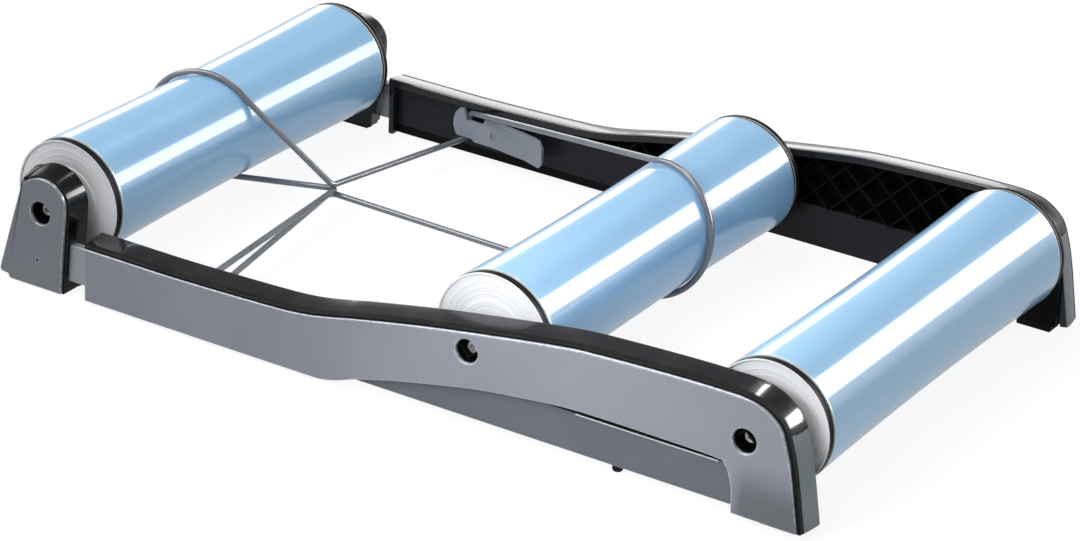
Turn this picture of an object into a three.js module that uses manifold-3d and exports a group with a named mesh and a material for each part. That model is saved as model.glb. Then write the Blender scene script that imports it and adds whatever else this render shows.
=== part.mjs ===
// Bike rollers: two side rails, three parabolic rollers, a sliding front end and an elastic drive belt.
// Millimetres, +Z up. X runs along the rails with the front roller at -X, and Y along the axles.
// The origin is on the floor, under the middle of the whole object as it is stored.
import * as THREE from 'three';
import { mergeVertices } from 'three/addons/utils/BufferGeometryUtils.js';
import Module from 'manifold-3d';

const wasm = await Module();
wasm.setup();

// Driving dimensions
const overallWidth = 484.8;
const axleHeight = 72.5;
const frontAxleSpacing = 439;
const rearAxleSpacing = 257;
const retractGap = 20.5;
const fitGap = 0.3;
const cutOverrun = 2;

// Rollers
const rollerWaistRadius = 51.7;
const rollerFlare = 2.7;
const rollerEndDepth = 37.9;
const rollerTubeWall = 3;
const ringWidth = 3.7;
const ringDrop = 1.2;
const capFlangeWidth = 4.2;
const capFlangeDrop = 0.5;
const capRimWidth = 3;
const capRecess = 1.2;
const capHubRadius = 30;
const capSpigotLength = 16;
const capSpigotWall = 3.5;
const capPlate = 5.4;
const capNeckRadius = 19;
const bearingRadius = 13;
const bearingWidth = 8;
const bearingRecess = 0.7;
const bearingShieldRecess = 0.6;
const bearingRaceWidth = 1.9;
const bearingLip = 4;

// Axles and their bolts
const axleRadius = 5;
const axleBoltRadius = 3;
const axleBoltLength = 20;
const axleBoltHeadRadius = 5.2;
const axleBoltHeadHeight = 6;
const axleBoltSocketRadius = 2.9;
const axleBoltSocketDepth = 3;
const axleBoltHeadDepth = 10;
const boltSeatWall = 2.4;
const boltPocketRadius = 10.5;
const boltPocketChamfer = 1.5;
const bossWall = 3;
const bossStandIn = 1.1;

// Rail cover and shell
const railRearReach = 51;
const railSkirtClearance = 3.5;
const railCrownHeight = 109.9;
const coverThickness = 3;
const coverEdgeRound = 1;
const shellWeb = 1.8;
const bandDepth = 26;
const bandRise = 6.7;
const bandStep = 0.8;
const rimGap = 0.5;
const rimWidth = 1.5;
const rimRound = 0.9;
const bandWall = 2.6;
const lipDrop = 0.5;
const webOverlap = 1;
const skirtEdgeInset = 1;
const bulkheadLength = 5;
const ribPitch = 30;
const ribWall = 1.6;
const ribDepth = 16;
const ribFrontReach = 135;
const ribTopSink = 0.8;
const footBlockLength = 52;
const footBlockDepth = 30;
const footBlockRearInset = 3;

// Share of the rail's length, then share of its height: the crown from the front to the rear foot
const railCrownShares = [
  [0.000, 0.461], [0.066, 0.461], [0.133, 0.462], [0.206, 0.474], [0.273, 0.489], [0.309, 0.502],
  [0.340, 0.527], [0.373, 0.570], [0.406, 0.619], [0.501, 0.742], [0.588, 0.838], [0.687, 0.936],
  [0.740, 0.966], [0.838, 0.994], [0.903, 1.000], [0.927, 0.992], [0.946, 0.964], [0.961, 0.908],
  [0.973, 0.827], [0.980, 0.705], [0.985, 0.587], [0.990, 0.426], [1.000, 0.033],
];
// The same shares for the lower edge, from the rear foot to the front
const railLowerShares = [
  [0.915, 0.033], [0.913, 0.226], [0.909, 0.334], [0.903, 0.402], [0.891, 0.443], [0.817, 0.452],
  [0.744, 0.454], [0.690, 0.443], [0.628, 0.400], [0.565, 0.342], [0.478, 0.223], [0.431, 0.147],
  [0.406, 0.103], [0.391, 0.068], [0.375, 0.032], [0.355, 0.004], [0.338, 0.000], [0.000, 0.000],
];
const crownSteps = 26;

// Rail beam, slide bar and slide collar
const beamDepth = 5.4;
const barThickness = 7.4;
const barHeight = 34.7;
const barWall = 2;
const barBottomHeight = 13.2;
const beamSideWall = 2;
const beamEdgeWall = 1.6;
const beamRearInset = 12;
const collarLength = 8;
const barSeatReach = 22;
const plugLength = 6;
const plugSpigotLength = 14;

// Front end caps
const capFrontReach = 46;
const capRearReach = 27.4;
const capTopHeight = 105.1;
const capBottomHeight = 1.5;
const capPlateThickness = 3;
const capBodyDepth = 25.4;
const capBodyRise = 6;
const capBodyBottomHeight = 3.6;
const capScrewReach = 4;
const capScrewHeight = 27.5;
const capScrewHeadRadius = 4.4;
const capScrewHeadHeight = 2.6;
const capScrewHeadInset = 0.3;
const capScrewRadius = 2.4;
const capScrewSocketRadius = 1.7;
const capScrewSocketDepth = 1.6;
const capScrewTipGap = 1;

// Share of the front cap's length, then share of its height
const capOutlineShares = [
  [0.000, 0.070], [0.029, 0.041], [0.120, 0.040], [0.149, 0.000], [0.914, 0.000], [0.959, 0.414],
  [1.000, 0.738], [0.981, 0.856], [0.924, 0.923], [0.837, 0.974], [0.728, 1.000], [0.605, 0.999],
  [0.489, 0.972], [0.396, 0.929], [0.332, 0.863],
];

// Rubber feet
const rearPadLength = 32;
const rearPadWidth = 18;
const rearPadRearInset = 8;
const rearPadDepth = 11;
const midFootRadius = 4.5;
const midFootReach = 139;
const midFootDepth = 12;
const midFootLift = 4.6;
const capFootLength = 50;
const capFootDepth = 4.5;
const capFootWidth = 18;

// Belt clips
const clipLength = 101;
const clipHeight = 28;
const clipMiddleHeight = 36.5;
const clipThickness = 3.5;
const clipDepth = 26.5;
const clipFlare = 6;
const clipFlareStartShare = 0.55;
const farClipReach = 76;
const nearClipReach = 91;
const clipPostRadius = 5;
const clipPostShare = 0.446;
const clipPegShare = 0.812;
const clipPostDrop = 3;
const clipScrewRadius = 1.7;
const clipScrewHeadRadius = 3.6;
const clipScrewHeadHeight = 1.8;
const clipScrewSocketRadius = 1.6;
const clipScrewSocketDepth = 0.9;

// Share of the clip's length, then share of its height above its middle: the notches hold the belt
const clipOutlineShares = [
  [0.000, -0.12], [0.000, 0.12], [0.020, 0.38], [0.060, 0.54], [0.105, 0.55], [0.125, 0.42],
  [0.140, 0.18], [0.320, 0.18], [0.345, 0.40], [0.500, 0.36], [0.800, 0.29], [0.960, 0.24],
  [1.000, 0.02], [1.000, -0.54], [0.965, -0.70], [0.800, -0.63], [0.500, -0.56], [0.230, -0.52],
  [0.200, -0.43], [0.050, -0.43], [0.030, -0.40],
];

// Drive belt: knot and clip stations of its stored route
const beltRadius = 2.75;
const beltSides = 8;
const beltGap = 0.5;
const knotReach = 112;
const knotOffset = 33;
const knotHeight = 28.5;
const knotStep = 6;
const knotBend = 6.5;
const clipBend = 4.5;
const clipBeltDepth = 22;
const clipBeltTopHeight = 46.3;
const clipBeltBottomHeight = 20.2;
const farClipBeltTopShare = 0.139;
const farClipBeltBottomShare = 0.099;
const nearClipBeltTopShare = 0.198;
const nearClipBeltBottomShare = 0.119;
const bendSteps = 4;
const rollerWrapSteps = 21;
const middleTopOffset = 73.4;
const middleCrownOffset = 58;
const middleBackOffset = 44.5;
const middleBottomOffset = 36;
const frontBottomOffset = 20;
const frontLeftOffset = -17;
const frontTopOffset = -2;

// Facets
const tubeSides = 40;
const capSides = 18;
const smallSides = 12;
const screwSides = 8;
const socketSides = 6;

// Derived places
const halfWidth = overallWidth / 2;
const rollerFace = halfWidth - rollerEndDepth;
const ringEnd = rollerFace - capFlangeWidth - fitGap;
const tubeEnd = ringEnd - ringWidth - fitGap;
const rollerEndRadius = rollerWaistRadius + rollerFlare;
const frontReach = Math.max(rollerEndRadius, rollerWaistRadius + beltGap + 2 * beltRadius);
const rearReach = Math.max(rollerEndRadius, railRearReach + bandRise);
const overallLength = frontReach + frontAxleSpacing + rearAxleSpacing + rearReach;
const frontAxleX = frontReach - overallLength / 2;
const middleAxleX = frontAxleX + frontAxleSpacing;
const rearAxleX = middleAxleX + rearAxleSpacing;
const railFrontX = frontAxleX + capRearReach + retractGap;
const railRearX = rearAxleX + railRearReach;
const railLength = railRearX - railFrontX;
const railHeight = railCrownHeight - railSkirtClearance;
const webFront = coverThickness + fitGap;
const webBack = webFront + shellWeb;
const beamBack = beamDepth + 2 * beamSideWall + 2 * fitGap + barThickness;
const barDepth = beamDepth + beamSideWall + fitGap;
const barBack = barDepth + barThickness;
const barTopHeight = barBottomHeight + barHeight;
const beamBottomHeight = barBottomHeight - fitGap - beamEdgeWall;
const beamTopHeight = barTopHeight + fitGap + beamEdgeWall;
const beamFrontX = railFrontX + collarLength + fitGap;
const beamRearX = rearAxleX - beamRearInset;
const barFrontX = frontAxleX - barSeatReach;
const barRearX = beamRearX - retractGap;
const boltUndersideDepth = axleBoltHeadDepth + axleBoltHeadHeight;
const boltSeatDepth = boltUndersideDepth + fitGap;
const axleEndDepth = boltSeatDepth + boltSeatWall + fitGap;
const bossEndDepth = bandDepth - bossStandIn;
const bossRadius = boltPocketRadius + bossWall;
const footBlockHeight = beamTopHeight;

// Geometry helpers

function pointAt(x, z) {
  return new THREE.Vector2(x, z);
}

// Place of a given depth behind the near rail's outer face
function nearY(depth) {
  return depth - halfWidth;
}

// Merges shared corners, drops faces without area and turns the faces outward
function closed(source) {
  const bare = source.clone();
  bare.deleteAttribute('normal');
  bare.deleteAttribute('uv');
  const merged = mergeVertices(bare);
  const position = merged.attributes.position;
  const corners = Array.from(merged.index.array);
  const kept = [];
  const [a, b, c] = [new THREE.Vector3(), new THREE.Vector3(), new THREE.Vector3()];
  let volume = 0;
  for (let i = 0; i < corners.length; i += 3) {
    const [p, q, r] = corners.slice(i, i + 3);
    if (p === q || q === r || r === p) continue;
    kept.push([p, q, r]);
    a.fromBufferAttribute(position, p);
    b.fromBufferAttribute(position, q);
    c.fromBufferAttribute(position, r);
    volume += a.dot(b.cross(c));
  }
  const faces = volume < 0 ? kept.map(([p, q, r]) => [p, r, q]) : kept;
  merged.setIndex(faces.flat());
  return merged;
}

function toSolid(geometry) {
  const body = closed(geometry);
  return new wasm.Manifold(new wasm.Mesh({
    numProp: 3,
    vertProperties: new Float32Array(body.attributes.position.array),
    triVerts: new Uint32Array(body.index.array),
  }));
}

function toGeometry(solid) {
  const mesh = solid.getMesh();
  const geometry = new THREE.BufferGeometry();
  geometry.setAttribute('position', new THREE.BufferAttribute(new Float32Array(mesh.vertProperties), 3));
  geometry.setIndex(Array.from(mesh.triVerts));
  return geometry;
}

function joined(base, ...others) {
  return toGeometry(others.reduce((sum, other) => sum.add(toSolid(other)), toSolid(base)));
}

function cut(base, ...cutters) {
  return toGeometry(cutters.reduce((rest, cutter) => rest.subtract(toSolid(cutter)), toSolid(base)));
}

function common(base, other) {
  return toGeometry(toSolid(base).intersect(toSolid(other)));
}

function mirrored(geometry) {
  return closed(geometry.clone().scale(1, -1, 1));
}

function box(x0, x1, y0, y1, z0, z1) {
  const geometry = new THREE.BoxGeometry(x1 - x0, y1 - y0, z1 - z0);
  return geometry.translate((x0 + x1) / 2, (y0 + y1) / 2, (z0 + z1) / 2);
}

// A plate with an outline in X and Z, from one Y to a larger one
function plate(outline, y0, y1) {
  const shape = new THREE.Shape(outline);
  const geometry = new THREE.ExtrudeGeometry(shape, { depth: y1 - y0, bevelEnabled: false });
  return geometry.rotateX(Math.PI / 2).translate(0, y1, 0);
}

// A round body about Y from [radius, y] corners. A ring's profile closes on itself
function turned(profile, sides, isRing = false) {
  const corners = isRing ? [...profile, profile[0]] : profile;
  const points = corners.map(([radius, y]) => pointAt(radius, y));
  return closed(new THREE.LatheGeometry(points, sides));
}

function rod(radius, y0, y1, sides, x = 0, z = 0) {
  return turned([[0, y0], [radius, y0], [radius, y1], [0, y1]], sides).translate(x, 0, z);
}

function tube(innerRadius, outerRadius, y0, y1, sides) {
  const profile = [[innerRadius, y0], [outerRadius, y0], [outerRadius, y1], [innerRadius, y1]];
  return turned(profile, sides, true);
}

// Joins rings of equal length into a skin, and closes its two ends where they don't meet
function skin(rings, capOutline) {
  const count = rings[0].length;
  const loops = capOutline ? rings.length - 1 : rings.length;
  const faces = [];
  for (let i = 0; i < loops; i += 1) {
    const here = i * count;
    const there = ((i + 1) % rings.length) * count;
    for (let j = 0; j < count; j += 1) {
      const next = (j + 1) % count;
      faces.push([here + j, here + next, there + next], [here + j, there + next, there + j]);
    }
  }
  if (capOutline) {
    const last = (rings.length - 1) * count;
    for (const [p, q, r] of THREE.ShapeUtils.triangulateShape(capOutline, [])) {
      const ascending = THREE.ShapeUtils.area(capOutline) > 0;
      const [second, third] = ascending ? [q, r] : [r, q];
      faces.push([p, third, second], [last + p, last + second, last + third]);
    }
  }
  const geometry = new THREE.BufferGeometry().setFromPoints(rings.flat());
  geometry.setIndex(faces.flat());
  return closed(geometry);
}

// A body whose outline in X and Z changes from one Y to the next
function loft(sections) {
  const outline = sections[0].outline;
  const turn = THREE.ShapeUtils.area(outline) > 0 ? 1 : -1;
  const ordered = turn > 0 ? sections : [...sections].reverse();
  const rings = ordered.map(({ y, outline: corners }) => (
    corners.map((corner) => new THREE.Vector3(corner.x, y, corner.y))
  ));
  return skin(rings, ordered[0].outline);
}

// Outward direction at each corner of a path whose outside is on its left
function outward(path, isClosed) {
  return path.map((corner, i) => {
    const before = path[i - 1] ?? (isClosed ? path[path.length - 1] : null);
    const after = path[i + 1] ?? (isClosed ? path[0] : null);
    const legs = [];
    if (before) legs.push(corner.clone().sub(before).normalize());
    if (after) legs.push(after.clone().sub(corner).normalize());
    const normals = legs.map((leg) => pointAt(-leg.y, leg.x));
    const sum = normals.reduce((total, normal) => total.add(normal), pointAt(0, 0)).normalize();
    const stretch = 1 / Math.max(sum.dot(normals[0].normalize()), Math.SQRT1_2);
    return legs.length > 1 ? sum.multiplyScalar(stretch) : sum;
  });
}

function offsetOutline(outline, distance) {
  const directions = outward(outline, true);
  return outline.map((corner, i) => corner.clone().addScaledVector(directions[i], distance));
}

function fromShares(shares, x0, z0, length, height) {
  return shares.map(([along, up]) => pointAt(x0 + along * length, z0 + up * height));
}

// Rollers

function rollerRadiusAt(y) {
  return rollerWaistRadius + rollerFlare * (y / tubeEnd) ** 2;
}

function rollerTube() {
  const stationShares = [1, 0.55, 0, -0.55, -1];
  const outer = stationShares.map((share) => [rollerRadiusAt(share * tubeEnd), share * tubeEnd]);
  const boreRadius = rollerWaistRadius - rollerTubeWall;
  return turned([[boreRadius, -tubeEnd], [boreRadius, tubeEnd], ...outer], tubeSides, true);
}

function spigotRadius() {
  return rollerWaistRadius - rollerTubeWall - fitGap;
}

function grooveRing() {
  const inner = spigotRadius() + fitGap;
  return tube(inner, rollerEndRadius - ringDrop, -ringEnd, -tubeEnd - fitGap, capSides);
}

// The near end cap. Depths are counted inward from its outer face
function rollerEndCap() {
  const rim = rollerEndRadius - capFlangeDrop;
  const spigot = spigotRadius();
  const seat = bearingRadius + fitGap;
  const shoulder = bearingRecess + bearingWidth + fitGap;
  const innerEnd = capFlangeWidth + ringWidth + 2 * fitGap + capSpigotLength;
  const profile = [
    [seat, 0], [capHubRadius, 0], [capHubRadius, capRecess], [rim - capRimWidth, capRecess],
    [rim - capRimWidth, 0], [rim, 0], [rim, capFlangeWidth], [spigot, capFlangeWidth],
    [spigot, innerEnd], [spigot - capSpigotWall, innerEnd], [spigot - capSpigotWall, capPlate],
    [capNeckRadius, capPlate], [capNeckRadius, shoulder + capRecess],
    [bearingRadius - bearingLip, shoulder + capRecess], [bearingRadius - bearingLip, shoulder],
    [seat, shoulder],
  ];
  return turned(profile.map(([radius, depth]) => [radius, depth - rollerFace]), capSides, true);
}

function bearing() {
  const bore = axleRadius + fitGap;
  const front = bearingRecess;
  const back = front + bearingWidth;
  const profile = [
    [bore, front + bearingShieldRecess], [bearingRadius - bearingRaceWidth, front + bearingShieldRecess],
    [bearingRadius - bearingRaceWidth, front], [bearingRadius, front], [bearingRadius, back], [bore, back],
  ];
  return turned(profile.map(([radius, depth]) => [radius, depth - rollerFace]), smallSides, true);
}

// Axles and their bolts

function axle() {
  const end = -nearY(axleEndDepth);
  const holeEnd = end - axleBoltLength;
  const hole = axleBoltRadius + fitGap;
  const profile = [
    [0, -holeEnd], [hole, -holeEnd], [hole, -end], [axleRadius, -end],
    [axleRadius, end], [hole, end], [hole, holeEnd], [0, holeEnd],
  ];
  return turned(profile, smallSides);
}

function hexSocket(radius, y0, y1) {
  return rod(radius, y0, y1, socketSides);
}

function axleBolt() {
  const headFace = nearY(axleBoltHeadDepth);
  const underside = nearY(boltUndersideDepth);
  const profile = [
    [0, headFace], [axleBoltHeadRadius, headFace], [axleBoltHeadRadius, underside],
    [axleBoltRadius, underside], [axleBoltRadius, underside + axleBoltLength],
    [0, underside + axleBoltLength],
  ];
  const socket = hexSocket(axleBoltSocketRadius, headFace - cutOverrun, headFace + axleBoltSocketDepth);
  return cut(turned(profile, smallSides), socket);
}

// The pocket for the bolt's head, the clearance hole and the axle's seat, cut as one stepped round
function boltPassage(x, z, innerDepth) {
  const profile = [
    [0, nearY(-cutOverrun)], [boltPocketRadius, nearY(-cutOverrun)], [boltPocketRadius, nearY(boltSeatDepth)],
    [axleBoltRadius + fitGap, nearY(boltSeatDepth)],
    [axleBoltRadius + fitGap, nearY(boltSeatDepth + boltSeatWall)],
    [axleRadius + fitGap, nearY(boltSeatDepth + boltSeatWall)],
    [axleRadius + fitGap, nearY(innerDepth + cutOverrun)], [0, nearY(innerDepth + cutOverrun)],
  ];
  return turned(profile, capSides).translate(x, 0, z);
}

function pocketChamfer(x, z) {
  const wide = boltPocketRadius + boltPocketChamfer;
  const profile = [
    [0, nearY(-boltPocketChamfer)], [wide + boltPocketChamfer, nearY(-boltPocketChamfer)],
    [boltPocketRadius, nearY(boltPocketChamfer)], [0, nearY(boltPocketChamfer)],
  ];
  return turned(profile, capSides).translate(x, 0, z);
}

// Rails, modelled on the near side

function railCrown() {
  const corners = fromShares(railCrownShares, railFrontX, railSkirtClearance, railLength, railHeight);
  return new THREE.SplineCurve(corners).getPoints(crownSteps);
}

function railLower() {
  return fromShares(railLowerShares, railFrontX, railSkirtClearance, railLength, railHeight);
}

function coverOutline() {
  return [...railCrown(), ...railLower()];
}

function railCover() {
  const outline = coverOutline();
  const inset = offsetOutline(outline, -coverEdgeRound);
  const blank = loft([
    { y: nearY(0), outline: inset },
    { y: nearY(coverEdgeRound), outline },
    { y: nearY(coverThickness), outline },
  ]);
  const cutters = [middleAxleX, rearAxleX].flatMap((x) => [
    rod(boltPocketRadius, nearY(-cutOverrun), nearY(coverThickness + cutOverrun), capSides, x, axleHeight),
    pocketChamfer(x, axleHeight),
  ]);
  return cut(blank, ...cutters);
}

// The sloping band round the crown and the rear end, with its rim and inner lip
function crownBand() {
  const path = railCrown();
  const directions = outward(path, false);
  const rim = rimGap + rimWidth;
  const midDepth = bandDepth / 3;
  const lipInside = bandDepth - bandWall;
  const section = [
    [bandStep, rimGap], [bandStep, rim], [bandStep + rimRound, rim + rimRound],
    [midDepth, bandRise - rimGap - rimWidth], [2 * midDepth, bandRise - rimGap],
    [bandDepth - rimRound, bandRise], [bandDepth, bandRise - rimRound], [bandDepth, -lipDrop],
    [lipInside, -lipDrop],
    [lipInside, bandRise - bandWall - rimRound], [webBack + rimGap, rimGap],
  ];
  const rings = path.map((corner, i) => section.map(([depth, rise]) => {
    const place = corner.clone().addScaledVector(directions[i], rise);
    return new THREE.Vector3(place.x, nearY(depth), place.y);
  }));
  return skin(rings, section.map(([depth, rise]) => pointAt(depth, rise)));
}

function shellWebPlate() {
  const crown = railCrown();
  const directions = outward(crown, false);
  const top = crown.map((corner, i) => corner.clone().addScaledVector(directions[i], webOverlap));
  const lower = railLower();
  const lowerDirections = outward(lower, false);
  const bottom = lower.map((corner, i) => (
    corner.clone().addScaledVector(lowerDirections[i], -skirtEdgeInset)
  ));
  const front = [pointAt(railFrontX, bottom[bottom.length - 1].y), pointAt(railFrontX, top[0].y)];
  return plate([...top, ...bottom.slice(0, -1), ...front], nearY(webFront), nearY(webBack));
}

// Diagonal ribs that cross as diamonds behind the wing
function wingRibs() {
  const slant = railHeight;
  const half = ribWall / 2;
  const ribs = [];
  const ribRearX = railRearX - ribPitch;
  const ribFrontX = middleAxleX - ribFrontReach;
  const count = Math.round((ribRearX - ribFrontX) / ribPitch);
  for (let i = 0; i <= count; i += 1) {
    const x = ribFrontX + i * ribPitch;
    for (const lean of [-1, 1]) {
      const rib = box(-half, half, nearY(webBack - half), nearY(webBack + ribDepth), -slant, slant);
      rib.rotateY(lean * Math.PI / 4).translate(x, 0, beamTopHeight);
      ribs.push(rib);
    }
  }
  const crown = railCrown().filter((corner) => corner.x > ribFrontX);
  const directions = outward(crown, false);
  const top = crown.map((corner, i) => corner.clone().addScaledVector(directions[i], bandWall + ribTopSink));
  const floor = beamTopHeight + fitGap;
  const window = [...top.slice(0, -1), pointAt(railRearX - skirtEdgeInset, floor), pointAt(top[0].x, floor)]
    .filter((corner) => corner.y >= floor);
  const region = plate(window, nearY(webFront), nearY(webBack + ribDepth + cutOverrun));
  return common(joined(...ribs), region);
}

function beamPocket() {
  return box(
    railFrontX - cutOverrun, railFrontX + bulkheadLength + cutOverrun,
    nearY(beamDepth - fitGap), nearY(beamBack + fitGap), beamBottomHeight - fitGap, beamTopHeight + fitGap,
  );
}

function railShell() {
  const crown = railCrown();
  const lower = railLower();
  const skirtRearX = lower[lower.length - 3].x;
  const skirt = box(
    railFrontX, skirtRearX, nearY(webFront), nearY(beamBack), railSkirtClearance, beamBottomHeight - fitGap,
  );
  const bulkhead = box(
    railFrontX, railFrontX + bulkheadLength, nearY(webFront), nearY(bandDepth - fitGap),
    railSkirtClearance, crown[0].y + rimGap,
  );
  const footRearX = railRearX - footBlockRearInset;
  const footBlock = box(
    footRearX - footBlockLength, footRearX, nearY(webFront), nearY(footBlockDepth),
    crown[crown.length - 1].y, footBlockHeight,
  );
  const bosses = [middleAxleX, rearAxleX].map((x) => (
    rod(bossRadius, nearY(webFront), nearY(bossEndDepth), capSides, x, axleHeight)
  ));
  const whole = joined(shellWebPlate(), crownBand(), skirt, bulkhead, footBlock, wingRibs(), ...bosses);
  const passages = [middleAxleX, rearAxleX].map((x) => boltPassage(x, axleHeight, bossEndDepth));
  return cut(whole, beamPocket(), ...passages);
}

function hollowBar(x0, x1, depth0, depth1, z0, z1, sideWall, edgeWall) {
  const outer = box(x0, x1, nearY(depth0), nearY(depth1), z0, z1);
  const inner = box(
    x0 - cutOverrun, x1 + cutOverrun, nearY(depth0 + sideWall), nearY(depth1 - sideWall),
    z0 + edgeWall, z1 - edgeWall,
  );
  return cut(outer, inner);
}

function clipPostPlace(clipFrontX, share) {
  return { x: clipFrontX + share * clipLength, z: clipMiddleHeight - clipPostDrop };
}

function railBeam(clipFrontX) {
  const profile = hollowBar(
    beamFrontX, beamRearX, beamDepth, beamBack, beamBottomHeight, beamTopHeight, beamSideWall, beamEdgeWall,
  );
  const { x, z } = clipPostPlace(clipFrontX, clipPostShare);
  const hole = rod(
    clipScrewRadius + fitGap, nearY(beamBack - beamSideWall - cutOverrun), nearY(beamBack + cutOverrun),
    screwSides, x, z,
  );
  return cut(profile, hole);
}

function slideCollar() {
  return hollowBar(
    railFrontX, railFrontX + collarLength, beamDepth, beamBack, beamBottomHeight, beamTopHeight,
    beamSideWall, beamEdgeWall,
  );
}

function rearPad() {
  const rear = railRearX - rearPadRearInset;
  const crown = railCrown();
  return box(
    rear - rearPadLength, rear, nearY(rearPadDepth), nearY(rearPadDepth + rearPadWidth),
    0, crown[crown.length - 1].y - fitGap,
  );
}

function midFoot() {
  const top = beamBottomHeight - fitGap;
  const height = top - midFootLift;
  const geometry = new THREE.CylinderGeometry(midFootRadius, midFootRadius, height, smallSides);
  const middle = midFootLift + height / 2;
  return geometry.rotateX(Math.PI / 2).translate(middleAxleX + midFootReach, nearY(midFootDepth), middle);
}

// Belt clips on the inner side of each rail

// How far the clip leans away from the rail at a distance from its front end
function clipLean(reach) {
  const start = clipFlareStartShare * clipLength;
  return clipFlare * (Math.max(0, reach - start) / (clipLength - start)) ** 2;
}

function clipPlate(clipFrontX) {
  const outline = fromShares(clipOutlineShares, clipFrontX, clipMiddleHeight, clipLength, clipHeight);
  const flat = closed(plate(outline, nearY(clipDepth), nearY(clipDepth + clipThickness)));
  const position = flat.attributes.position;
  for (let i = 0; i < position.count; i += 1) {
    position.setY(i, position.getY(i) + clipLean(position.getX(i) - clipFrontX));
  }
  return flat;
}

function beltClip(clipFrontX) {
  const face = nearY(clipDepth + clipThickness);
  const posts = [clipPostShare, clipPegShare].map((share) => {
    const { x, z } = clipPostPlace(clipFrontX, share);
    const end = face - clipThickness / 2 + clipLean(share * clipLength);
    return rod(clipPostRadius, nearY(beamBack + fitGap), end, screwSides, x, z);
  });
  const { x, z } = clipPostPlace(clipFrontX, clipPostShare);
  const pocketFloor = face - clipScrewHeadHeight - fitGap;
  const hole = rod(clipScrewRadius + fitGap, nearY(beamBack), face + cutOverrun, screwSides, x, z);
  const pocket = rod(clipScrewHeadRadius + fitGap, pocketFloor, face + cutOverrun, screwSides, x, z);
  return cut(joined(clipPlate(clipFrontX), ...posts), hole, pocket);
}

function clipScrew(clipFrontX) {
  const head = nearY(clipDepth + clipThickness);
  const seat = head - clipScrewHeadHeight;
  const tip = nearY(beamBack - beamSideWall + fitGap);
  const profile = [
    [0, tip], [clipScrewRadius, tip], [clipScrewRadius, seat], [clipScrewHeadRadius, seat],
    [clipScrewHeadRadius, head], [0, head],
  ];
  const socket = hexSocket(clipScrewSocketRadius, head - clipScrewSocketDepth, head + cutOverrun);
  const { x, z } = clipPostPlace(clipFrontX, clipPostShare);
  return cut(turned(profile, screwSides), socket).translate(x, 0, z);
}

// Front end caps, modelled on the near side

function capOutline() {
  const length = capFrontReach + capRearReach;
  const height = capTopHeight - capBottomHeight;
  const corners = fromShares(capOutlineShares, frontAxleX - capFrontReach, capBottomHeight, length, height);
  return corners.reverse();
}

function bodyOutline(rise) {
  return offsetOutline(capOutline(), rise).map((corner) => (
    pointAt(corner.x, Math.max(corner.y, capBodyBottomHeight))
  ));
}

function capBody() {
  const rim = rimGap + rimWidth;
  const front = coverThickness + fitGap;
  const blank = loft([
    { y: nearY(front), outline: bodyOutline(rim) },
    { y: nearY(capBodyDepth - rimRound), outline: bodyOutline(capBodyRise) },
    { y: nearY(capBodyDepth), outline: bodyOutline(capBodyRise - rimRound) },
  ]);
  const barPocket = box(
    barFrontX - fitGap, frontAxleX + capRearReach + capBodyRise + cutOverrun,
    nearY(barDepth - fitGap), nearY(barBack + fitGap), barBottomHeight - fitGap, barTopHeight + fitGap,
  );
  const screwHole = rod(
    capScrewRadius + fitGap, nearY(0), nearY(barDepth), screwSides,
    frontAxleX - capScrewReach, capScrewHeight,
  );
  return cut(blank, barPocket, screwHole, boltPassage(frontAxleX, axleHeight, capBodyDepth));
}

function capFrontPlate() {
  const outline = capOutline();
  const blank = loft([
    { y: nearY(0), outline: offsetOutline(outline, -coverEdgeRound) },
    { y: nearY(coverEdgeRound), outline },
    { y: nearY(capPlateThickness), outline },
  ]);
  const screwX = frontAxleX - capScrewReach;
  const back = nearY(capPlateThickness + cutOverrun);
  return cut(
    blank,
    rod(boltPocketRadius, nearY(-cutOverrun), back, capSides, frontAxleX, axleHeight),
    pocketChamfer(frontAxleX, axleHeight),
    rod(capScrewRadius + fitGap, nearY(-cutOverrun), back, screwSides, screwX, capScrewHeight),
    rod(capScrewHeadRadius + fitGap, nearY(-cutOverrun), nearY(capScrewHeadHeight), screwSides,
      screwX, capScrewHeight),
  );
}

function capScrew() {
  const head = nearY(capScrewHeadInset);
  const seat = nearY(capScrewHeadHeight - fitGap);
  const tip = nearY(barBack - barWall - capScrewTipGap);
  const profile = [
    [0, head], [capScrewHeadRadius, head], [capScrewHeadRadius, seat],
    [capScrewRadius, seat], [capScrewRadius, tip], [0, tip],
  ];
  const socket = hexSocket(capScrewSocketRadius, head - cutOverrun, head + capScrewSocketDepth);
  return cut(turned(profile, screwSides), socket).translate(frontAxleX - capScrewReach, 0, capScrewHeight);
}

function slideBar() {
  const bar = hollowBar(
    barFrontX, barRearX - plugLength - fitGap, barDepth, barBack, barBottomHeight, barTopHeight,
    barWall, barWall,
  );
  const hole = rod(
    capScrewRadius + fitGap, nearY(barDepth - cutOverrun), nearY(barDepth + barWall + fitGap), screwSides,
    frontAxleX - capScrewReach, capScrewHeight,
  );
  return cut(bar, hole);
}

function slidePlug() {
  const head = box(
    barRearX - plugLength, barRearX, nearY(barDepth), nearY(barBack), barBottomHeight, barTopHeight,
  );
  const inset = barWall + fitGap;
  const spigot = box(
    barRearX - plugLength - plugSpigotLength, barRearX - fitGap,
    nearY(barDepth + inset), nearY(barBack - inset), barBottomHeight + inset, barTopHeight - inset,
  );
  return joined(head, spigot);
}

function capFoot() {
  const rear = frontAxleX + capRearReach - capBodyRise;
  return box(
    rear - capFootLength, rear, nearY(capFootDepth), nearY(capFootDepth + capFootWidth),
    0, capBodyBottomHeight - fitGap,
  );
}

// Drive belt: one loop round two rollers, its slack hooked on the clips and crossed at one knot

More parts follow.
